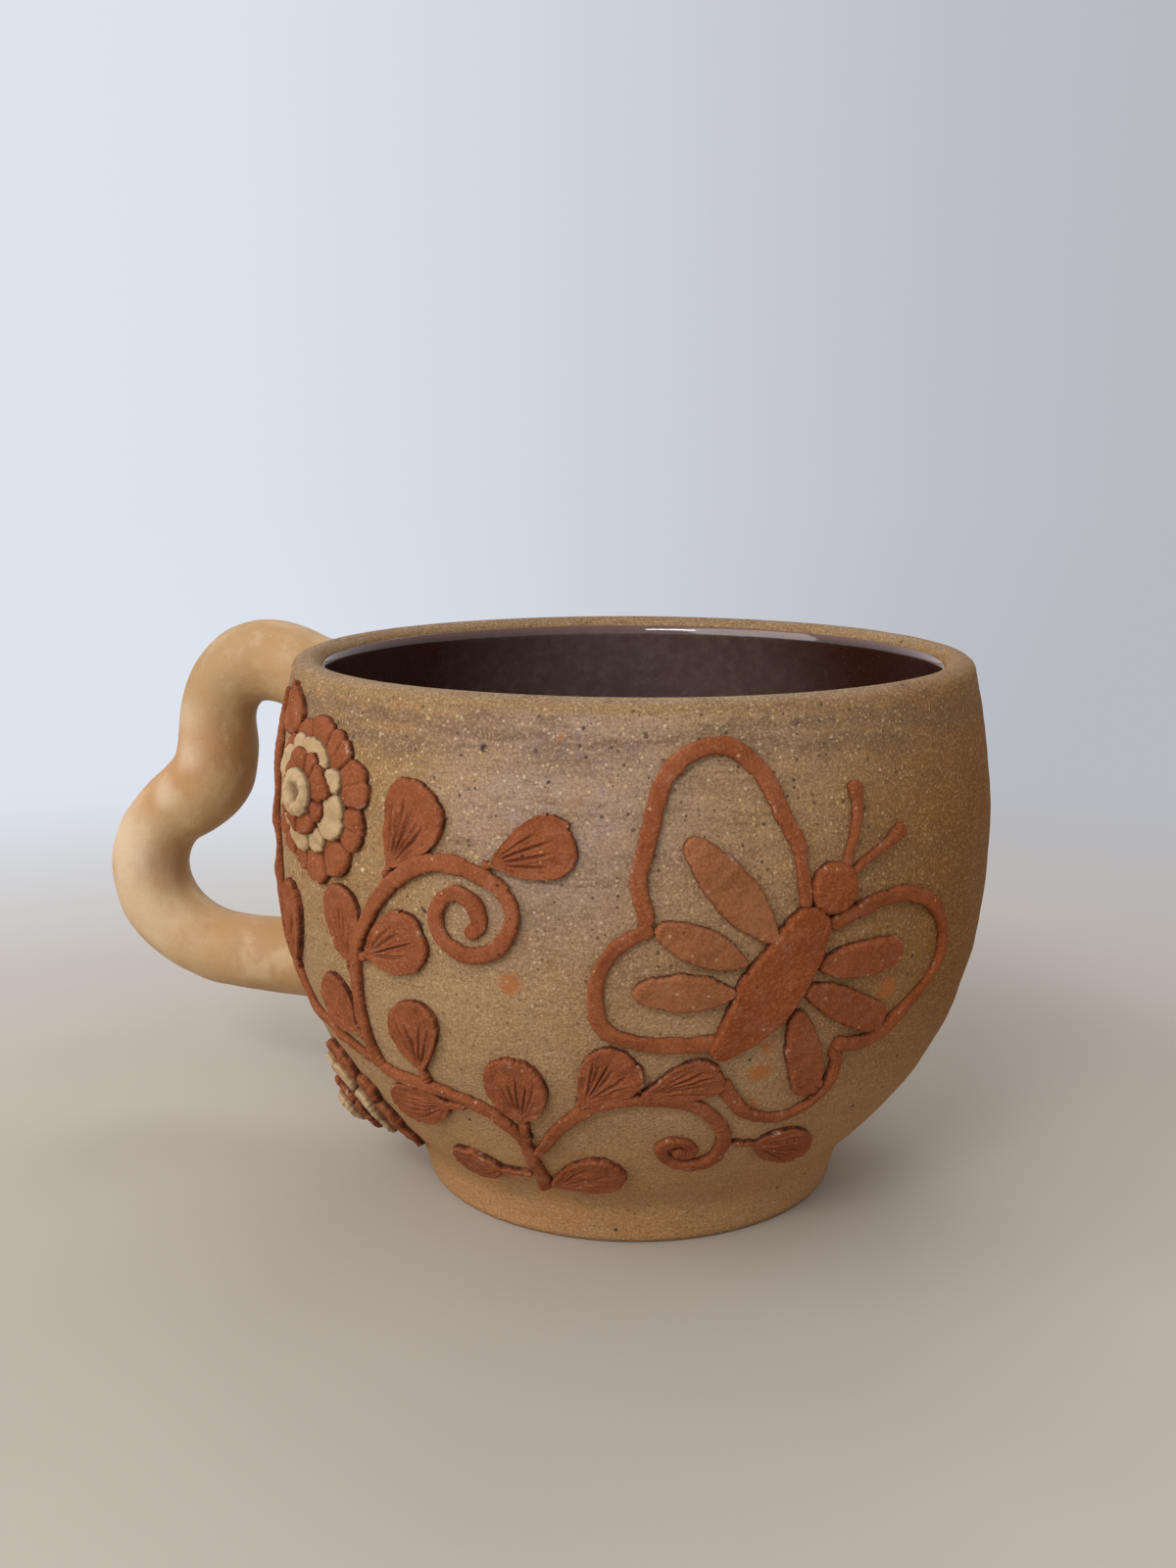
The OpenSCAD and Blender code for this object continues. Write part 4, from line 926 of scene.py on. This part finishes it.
def butterfly():
    for i, (name, shares) in enumerate(WING_COILS.items()):
        coil(name, butterfly_drawing, shares, BUTTERFLY_W, 100 + 10 * i)
    sides = np.array(BODY_SIDES)
    down = BODY_TOP - sides[:, 0] * BODY_REACH
    left, right = (np.stack([sides[:, k] * BODY_W, down], -1) for k in (1, 2))
    outline = even(np.concatenate([left, right[::-1]]), BODY_POINTS)
    middle_y = np.clip(outline[:, 1], BODY_TOP - 0.86 * BODY_REACH, BODY_TOP - 0.14 * BODY_REACH)
    middle_x = np.interp(-middle_y, -left[:, 1], (left[:, 0] + right[:, 0]) / 2)
    spine = np.stack([middle_x, middle_y], -1)
    pad("butterfly_body", butterfly_drawing, outline, spine, BODY_T, 170, DEEP_RED, rings=30, edge_r=0.55,
        ragged=0.6)
    centre = np.array(HEAD_MIDDLE)
    circle = centre + HEAD_R * ellipse(HEAD_POINTS, 1.04, 1.02)
    pad("butterfly_head", butterfly_drawing, circle, centre + 0.004 * (circle - centre), BODY_T * 1.12, 175,
        DEEP_RED, rings=26, edge_r=0.7)
    share, side = round_strip(WING_PETAL_POINTS)
    for name, (*ends, wide, seed) in WING_PETALS.items():
        base, tip = np.array(ends).reshape(2, 2) * BUTTERFLY_W
        heading, length = math.atan2(*(tip - base)), np.linalg.norm(tip - base)
        halves, material = WING_PETAL_LOOKS["left" if "left" in name else "right"]
        half = np.interp(share, np.linspace(0, 1, len(halves)), halves) * wide * WING_PETAL_W / 2
        # the ends are round: the width falls as a half circle over the last stretch
        half = half * rounded(np.minimum(share, 1 - share) * length, half + 1e-6)
        outline = np.stack([share * length, side * half], -1)
        spine = np.stack([np.clip(share, 0.12, 0.88) * length, 0 * share], -1)
        pad(name, butterfly_drawing, turned(outline, base, heading), turned(spine, base, heading),
            BODY_T * 0.82, seed, material)


# Vines and leaves

# Vine paths: [share of the vine's width right of the fork, share up, share of the coil's width]
VINES = {
    "left_vine": [
        (-0.006, -0.155, 0.95), (-0.005, -0.06, 0.9), (-0.024, 0.091, 0.82), (-0.084, 0.176, 0.8),
        (-0.166, 0.213, 0.8), (-0.281, 0.234, 0.8), (-0.39, 0.241, 0.8), (-0.452, 0.27, 0.8),
        (-0.473, 0.37, 0.8), (-0.477, 0.48, 0.82), (-0.462, 0.6, 0.88), (-0.408, 0.715, 0.95),
        (-0.318, 0.817, 1.1), (-0.2, 0.884, 1.15), (-0.075, 0.872, 1.1), (0.005, 0.827, 1),
        (0.024, 0.75, 1), (-0.02, 0.682, 1), (-0.1, 0.66, 1), (-0.168, 0.7, 1),
        (-0.18, 0.765, 1), (-0.133, 0.814, 1), (-0.078, 0.795, 1), (-0.062, 0.748, 1),
        (-0.082, 0.72, 0.95),
    ],
    "right_vine": [
        (0.016, 0.03, 0.7), (0.045, 0.076, 0.78), (0.085, 0.14, 0.8), (0.135, 0.195, 0.82),
        (0.2, 0.245, 0.85), (0.298, 0.269, 0.85), (0.39, 0.262, 0.9), (0.46, 0.235, 0.95),
        (0.506, 0.17, 1), (0.512, 0.1, 1), (0.485, 0.026, 1), (0.44, -0.006, 0.95),
        (0.39, -0.004, 0.9), (0.352, 0.026, 0.85), (0.345, 0.072, 0.8), (0.375, 0.1, 0.78),
        (0.41, 0.09, 0.8), (0.424, 0.062, 0.9), (0.407, 0.044, 1), (0.389, 0.053, 1),
    ],
    "side_vine": [
        (-0.5, 0.262, 0.8), (-0.6, 0.292, 0.8), (-0.7, 0.318, 0.8), (-0.78, 0.345, 0.8),
        (-0.85, 0.4, 0.8), (-0.9, 0.47, 0.85), (-0.935, 0.57, 0.85), (-0.955, 0.68, 0.85),
        (-0.97, 0.8, 0.85), (-0.98, 0.93, 0.85), (-0.975, 1.05, 0.85), (-0.96, 1.15, 0.85),
        (-0.945, 1.23, 0.75),
    ],
}
# Leaves: vine, point of its path, side, heading, share of length, share of width, bend, neck, veins, taper.
# A free leaf has shares of the vine's width, right of the fork and up, in place of point and side.
LEAVES = {
    "scroll_top_leaf": ("left_vine", 11.87, -1, 26, 1.08, 1.16, 0.05, 0.12, 9, 1.0),
    "scroll_right_leaf": ("left_vine", 14.15, -1, 71, 0.95, 1.0, 0.0, 0.08, 4, 1.05),
    "scroll_inner_leaf": ("left_vine", 10, 1, 65, 0.95, 1.04, 0.0, 0.12, 5, 0.8),
    "left_branch_leaf": ("left_vine", 4.9, 1, 0, 0.98, 1.0, -0.08, 0.16, 4, 0.85),
    "fork_leaf": ("left_vine", 1.88, 1, 0, 1.16, 1.07, 0.0, 0.3, 6, 0.62),
    "right_branch_first_leaf": ("right_vine", 3.6, -1, 40, 0.86, 0.97, 0.0, 0.03, 7, 0.95),
    "right_branch_second_leaf": ("right_vine", 5.25, -1, 74, 0.85, 0.78, 0.0, 0.04, 5, 1.0),
    "right_scroll_leaf": ("right_vine", 9.15, -1, 112, 0.98, 1.08, 0.0, 0.28, 6, 0.62),
    "foot_right_leaf": ("left_vine", 0.3, 1, 58, 0.93, 0.92, 0.05, 0.05, 3, 0.7),
    "foot_left_leaf": ("left_vine", 0.8, -1, -92, 1.0, 0.92, -0.04, 0.38, 3, 0.6),
    "left_branch_under_leaf": ("left_vine", 3.85, -1, -106, 1.13, 0.98, 0.0, 0.22, 5, 0.65),
    "left_stem_leaf": ("left_vine", 9.5, -1, -13, 0.92, 0.88, 0.05, 0.12, 5, 0.8),
    "side_vine_leaf": ("side_vine", 4.6, 1, 10, 1.08, 0.95, 0.0, 0.1, 5, 0.8),
    "side_fork_leaf": ("left_vine", 7.7, -1, -48, 0.85, 1.06, 0.0, 0.12, 5, 0.7),
    "rim_leaf": (None, -0.85, 1.272, 160, 0.58, 0.86, 0.0, 0.1, 3, 0.7),
}


def flank(vine, at, side):
    """Place in the vine's drawing on the flank of a coil, where a stem starts."""
    i = int(at)
    t = at - i
    curve = cubic(np.array(VINES[vine]) * [VINE_W, VINE_W, 1], i)
    place = t ** np.arange(4) @ curve
    way = (curve[1] + 2 * curve[2] * t + 3 * curve[3] * t ** 2)[:2]
    off = side * (place[2] * COIL_W / 2 + 0.05 * UNIT)
    return place[:2] + off * right_of(way / np.linalg.norm(way))


def leaf_half(share, neck, width, rise):
    """Half width of a leaf at a share of its length, slow to widen where rise is large."""
    t = held((share - neck) / (1 - neck))
    fall = 0.45
    widest = rise / (rise + fall)
    blade = (t / widest) ** rise * ((1 - t) / (1 - widest)) ** fall * width / 2
    stem = STEM_W / 2 * np.sqrt(held(share / 0.04)) * held((1 - share) / 0.3) ** 0.5
    return np.sqrt(blade ** 2 + stem ** 2)


def leaf(name, spec, seed):
    vine, at, side, heading, length, width, bend, neck, vein_count, rise = spec
    heading = math.radians(heading)
    length, width = length * LEAF_L, width * LEAF_W
    base = np.array([at, side]) * VINE_W if vine is None else flank(vine, at, side)

    def swayed(share, off=0.0):
        """Points of the leaf at shares of its length, off its bent middle line."""
        return np.stack([share * length, off + bend * length * np.sin(np.pi * share)], -1)

    share, sign = round_strip(LEAF_POINTS)
    outline = swayed(share, sign * leaf_half(share, neck, width, rise))
    # the blade's rays open from the neck, so its veins lie along them
    fan = max(neck, 0.1) + 0.04
    spine = swayed(np.clip(share, 0.05, fan))
    rng = np.random.default_rng(seed + 3)
    spread = np.linspace(-1, 1, vein_count) * 0.75 + rng.uniform(-0.08, 0.08, vein_count)
    widest = math.atan2(width / 2, (0.62 - fan) * length)
    reaches = (0.93 - 0.16 * np.abs(spread)) * rng.uniform(0.86, 1.0, vein_count)
    reaches = reaches * rng.uniform(0.82, 1.0, vein_count)
    depths = rng.uniform(0.5, 1.0, vein_count) * (1 - 0.25 * np.abs(spread))
    widths = rng.uniform(0.12, 0.21, vein_count)
    curls = rng.uniform(-0.12, 0.12, vein_count)

    def detail(flat, distance):
        """Veins that fan out from the neck, fine strokes along them, lumps, and a hollow blade."""
        away = untwisted(flat, base, heading) - swayed(np.array(fan))
        far = np.linalg.norm(away, axis=-1)
        way = np.arctan2(away[..., 1] - bend * 0.3 * far, away[..., 0])
        far_share = far / ((1 - fan) * length)
        deepest, lifted = np.zeros(far.shape), np.zeros(far.shape)
        for spot, reach, depth, wide, curl in zip(spread, reaches, depths, widths, curls):
            line = widest * spot * (1 - 0.35 * far_share * abs(spot)) + curl * far_share
            gap = far * np.abs(np.sin(way - line)) / (wide * UNIT)
            gap = np.where(np.abs(way - line) > 1.2, 9, gap)
            fade = held((far_share - 0.04) / 0.12) * held((reach - far_share) / 0.14)
            deepest = np.maximum(deepest, depth * fade * bell(gap, 0, 1))
            lifted += 0.1 * depth * fade * bell(gap, 2.1, 0.9)
        inside = held(distance / (0.5 * UNIT))
        hollow = 0.1 * inside * held(distance / (2.2 * UNIT))
        rays = tagged(np.stack([np.cos(way), np.sin(way)], -1), seed * 0.9)
        strokes = waves(seed + 8, 0.22)(rays) * held(far_share / 0.3)
        lumps = layered(tagged(flat, seed * 2.3), seed, LEAF_LUMPS)
        change = inside * (lifted - 0.36 * deepest + 0.03 * strokes + lumps) - hollow
        return UNIT * change, deepest * inside

    pad(name, vine_drawing, turned(outline, base, heading), turned(spine, base, heading), LEAF_T, seed, RED,
        detail=detail, rings=30, edge_r=0.4, slack=0.45, ragged=0.8)


def vines_and_leaves():
    for i, (name, shares) in enumerate(VINES.items()):
        coil(name, vine_drawing, shares, VINE_W, 200 + 10 * i)
    for i, (name, spec) in enumerate(LEAVES.items()):
        leaf(name, spec, 300 + 10 * i)


# Flowers

# Flowers: (share of the vine's width right of the fork, share up), radius, share of the petals' thickness
FLOWERS = {
    "upper_flower": ((-0.622, 1.005), UPPER_FLOWER_R, 1.0),
    "lower_flower": ((-0.745, -0.040), LOWER_FLOWER_R, 1.2),
}
# Rings of petals:
# [name, share of the radius, petals, share right, share up, cut, dome, dish, pinched share, seat]
PETAL_RINGS = [
    ("outer_petals", 1.03, 11, -0.075, -0.11, 0.17, 0.14, 0.1, 0.6, 0.0),
    ("middle_petals", 0.78, 8, -0.14, -0.05, 0.27, 0.2, 0.34, 0.0, 0.8),
    ("inner_petals", 0.52, 8, -0.13, -0.03, 0.15, 0.16, 0.1, 0.3, 1.6),
]
BUTTON_SHIFT = (-0.13, -0.02)


def petal_ring(flower, place, radius, thick, ring, seed):
    name, share, petals, right, up, cut, dome_h, dish_h, pinched, seat = ring
    rng = np.random.default_rng(seed)
    centre = place + np.array([right, up]) * radius
    edges = np.sort((np.arange(petals) + rng.uniform(-0.26, 0.26, petals)) / petals)
    sizes = rng.uniform(0.86, 1.06, petals)
    notches = rng.uniform(0.6, 1.25, petals)
    pinches = rng.uniform(0.3, 1, petals) * (rng.uniform(0, 1, petals) < pinched)
    count = petals * FLOWER_PETAL_POINTS
    turn = np.arange(count) / count
    owner = np.searchsorted(edges, turn, side="right") - 1
    following = (owner + 1) % petals
    low = np.where(owner < 0, edges[-1] - 1, edges[owner])
    high = edges[following] + (owner + 1 == petals)
    across = (turn - low) / (high - low)
    lobe = held(np.sin(np.pi * across)) ** 0.55
    notch = np.where(across < 0.5, notches[owner], notches[following])
    reach = radius * share * (1 - cut * notch * (1 - lobe)) * (1 + (sizes[owner] - 1) * lobe)
    reach = reach * (1 - 0.05 * pinches[owner] * bell(across, 0.5, 0.07))
    outline = centre + reach[:, None] * ellipse(count)

    def detail(flat, distance):
        """Creases between the petals, pinched tips, and a dome or dish on each."""
        far_mm = np.linalg.norm(flat - centre, axis=-1)
        far = far_mm / reach
        arc = (high - low) * far_mm * 2 * np.pi / UNIT
        to_side = np.minimum(across, 1 - across) * arc
        to_middle = np.abs(across - 0.5) * arc
        crease = bell(to_side, 0, 0.24) * held(notch) * held((far - 0.4) / 0.3)
        pinch = bell(to_middle, 0, 0.16) * pinches[owner]
        pinch = pinch * held((far - 0.62) / 0.2) * held((1.03 - far) / 0.12)
        dome = held(np.sin(np.pi * across)) ** 0.7 * bell(far, 0.8, 0.17)
        dish = bell(to_middle, 0, 1) * bell(far, 0.84, 0.1)
        ruffle = layered(tagged(flat, seed * 1.3), seed, PETAL_RUFFLE) * held(far) ** 2
        change = dome_h * dome - dish_h * dish - 0.55 * crease - 0.3 * pinch + ruffle
        return thick * UNIT * change * held(distance / (0.3 * UNIT)), held(crease + 0.7 * pinch)

    material, slot = (PETAL, "petal_clay") if name == "middle_petals" else (RED, "red_clay")
    spine = centre + 0.04 * (outline - centre)
    pad(f"{flower}_{name}", vine_drawing, outline, spine, thick * PETAL_T, seed, material, detail=detail,
        rings=38, seat=thick * seat * UNIT, edge_r=0.45, ragged=0.75, slack=0.4)


def flower_button(flower, place, radius, thick, seed):
    place = place + np.array(BUTTON_SHIFT) * radius
    reach = radius * 0.28
    circle = place + reach * ellipse(BUTTON_POINTS, 1, 0.96)

    def detail(flat, distance):
        """A pushed-in hole with a curl of clay in it, and a raised rim."""
        away = flat - place
        far = np.linalg.norm(away - np.array([0.12, 0.08]) * UNIT, axis=-1) / reach
        turn = np.arctan2(away[..., 1], away[..., 0])
        hole = np.exp(-(far / (0.4 + 0.05 * np.sin(3 * turn))) ** 4)
        curl = bell(far, 0.16, 0.12) * held(np.sin(turn + 0.8))
        rim = 0.16 * bell(far, 0.66, 0.18)
        lumps = layered(tagged(flat, seed * 1.3), seed, BUTTON_LUMPS) * held(distance / (0.4 * UNIT))
        return UNIT * (-1.1 * hole + 0.4 * curl + rim + lumps), held(1.1 * hole - 0.7 * curl)

    pad(f"{flower}_button", vine_drawing, circle, place + 0.03 * (circle - place), BUTTON_T, seed, PETAL,
        detail=detail, rings=34, seat=thick * BUTTON_SEAT, edge_r=0.9, ragged=0.6)


def flowers():
    for i, (flower, (shares, radius, thick)) in enumerate(FLOWERS.items()):
        place = np.array(shares) * VINE_W
        for k, ring in enumerate(PETAL_RINGS):
            petal_ring(flower, place, radius, thick, ring, 500 + 40 * i + 8 * k)
        flower_button(flower, place, radius, thick, 530 + 40 * i)


# Stage, light and camera

# The camera stands where the photo's stood: turned from the mug's -Y, and in its own frame behind that turn
VIEW_TURN = math.radians(17)
VIEW_DISTANCE = 236.76 * UNIT
VIEW_HEIGHT = 104.52 * UNIT
VIEW_PITCH = math.radians(10.79)
VIEW_YAW = math.radians(-1.588)
VIEW_ROLL = math.radians(0.07)
FOCAL_PIXELS = 1618
PHOTO_LONG_SIDE = 1600
SENSOR = 36

# The floor fades to the backdrop round a point in front of the mug, all in metres
FADE_AHEAD = 0.1
FADE_FROM = 0.15
FADE_TO = 0.46
FLOOR_R = 4

ROOM_COLOUR = (0.620, 0.604, 0.586)
LIGHT_TARGET = (0, 0, 0.04)
# Lights: [name, place, width, height, power, colour], lengths in metres
LIGHTS = [
    ("window", (-0.55, -0.72, 0.60), 1.1, 0.9, 7.6, (1.0, 0.975, 0.945)),
    ("back_window", (-0.1, 0.75, 0.95), 0.6, 0.6, 3.0, (0.97, 0.98, 1.0)),
    ("front_pane", (-0.04, -0.95, 0.8), 0.36, 0.12, 3.0, (0.98, 0.98, 1.0)),
]


def place_in_scene(thing):
    bpy.context.scene.collection.objects.link(thing)
    return thing


def backdrop_colour(n, ahead):
    """Colour of the far background by its direction: bright on the camera's left, dim on its right."""
    c, s = math.cos(VIEW_TURN), math.sin(VIEW_TURN)
    across = n.dot((c, s, 0))
    behind = n.maths("ADD", n.dot((-s, c, 0)), ahead)
    reach = n.maths("SQRT", n.maths("MULTIPLY_ADD", across, across, n.times(behind, behind)))
    side = n.ramp(n.maths("DIVIDE", across, reach), -0.34, 0.34)
    return n.mix(side, (0.730, 0.774, 0.852), (0.480, 0.490, 0.532))


def floor_material():
    """Plain floor, warm round the mug, that fades into the backdrop on every side."""
    n = new_material("pale_floor")
    soft = n.ramp(n.noise(90, 2, 0.5), 0.3, 0.7)
    colour = n.mix(soft, (0.475, 0.434, 0.388), (0.452, 0.411, 0.367))
    matt = n.add("ShaderNodeBsdfDiffuse", {"Color": colour})
    glow = n.add("ShaderNodeEmission", {"Color": backdrop_colour(n, FADE_AHEAD)})
    middle = (FADE_AHEAD / MM * math.sin(VIEW_TURN), -FADE_AHEAD / MM * math.cos(VIEW_TURN), 0)
    far = n.maths("SUBTRACT", 1, n.near(middle, FADE_TO / MM, 1 - FADE_FROM / FADE_TO))
    n.show(n.add("ShaderNodeMixShader", (n.times(n.seen(), far), matt.outputs[0], glow.outputs[0])))
    return n.owner


def stage():
    mesh = bpy.data.meshes.new("floor")
    rim = np.pad(FLOOR_R * ellipse(FLOOR_POINTS), ((0, 0), (0, 1)))
    mesh.from_pydata(rim.tolist(), [], [list(range(FLOOR_POINTS))])
    mesh.update()
    floor = place_in_scene(bpy.data.objects.new("floor", mesh))
    floor.data.materials.append(floor_material())


def camera():
    data = bpy.data.cameras.new("view")
    data.sensor_width = SENSOR
    data.lens = FOCAL_PIXELS / PHOTO_LONG_SIDE * SENSOR
    data.clip_start = 0.01
    view = place_in_scene(bpy.data.objects.new("view", data))
    view.matrix_world = (
        Matrix.Rotation(VIEW_TURN, 4, "Z") @ Matrix.Translation((0, -VIEW_DISTANCE * MM, VIEW_HEIGHT * MM))
        @ Matrix.Rotation(-VIEW_YAW, 4, "Z") @ Matrix.Rotation(math.pi / 2 - VIEW_PITCH, 4, "X")
        @ Matrix.Rotation(VIEW_ROLL, 4, "Z")
    )
    bpy.context.scene.camera = view


def lights():
    world = bpy.data.worlds.new("soft_room")
    bpy.context.scene.world = world
    world.use_nodes = True
    n = Nodes(world)
    colour = world.node_tree.nodes["Background"].inputs["Color"]
    n.put(colour, n.mix(n.seen(), ROOM_COLOUR, backdrop_colour(n, 0)))
    for name, place, width, height, power, tone in LIGHTS:
        data = bpy.data.lights.new(name, "AREA")
        data.shape = "RECTANGLE"
        data.size, data.size_y, data.energy, data.color = width, height, power, tone
        light = place_in_scene(bpy.data.objects.new(name, data))
        light.location = place
        light.rotation_euler = (Vector(LIGHT_TARGET) - Vector(place)).to_track_quat("-Z", "Y").to_euler()


cup()
glaze()
handle()
butterfly()
vines_and_leaves()
flowers()
stage()
camera()
lights()
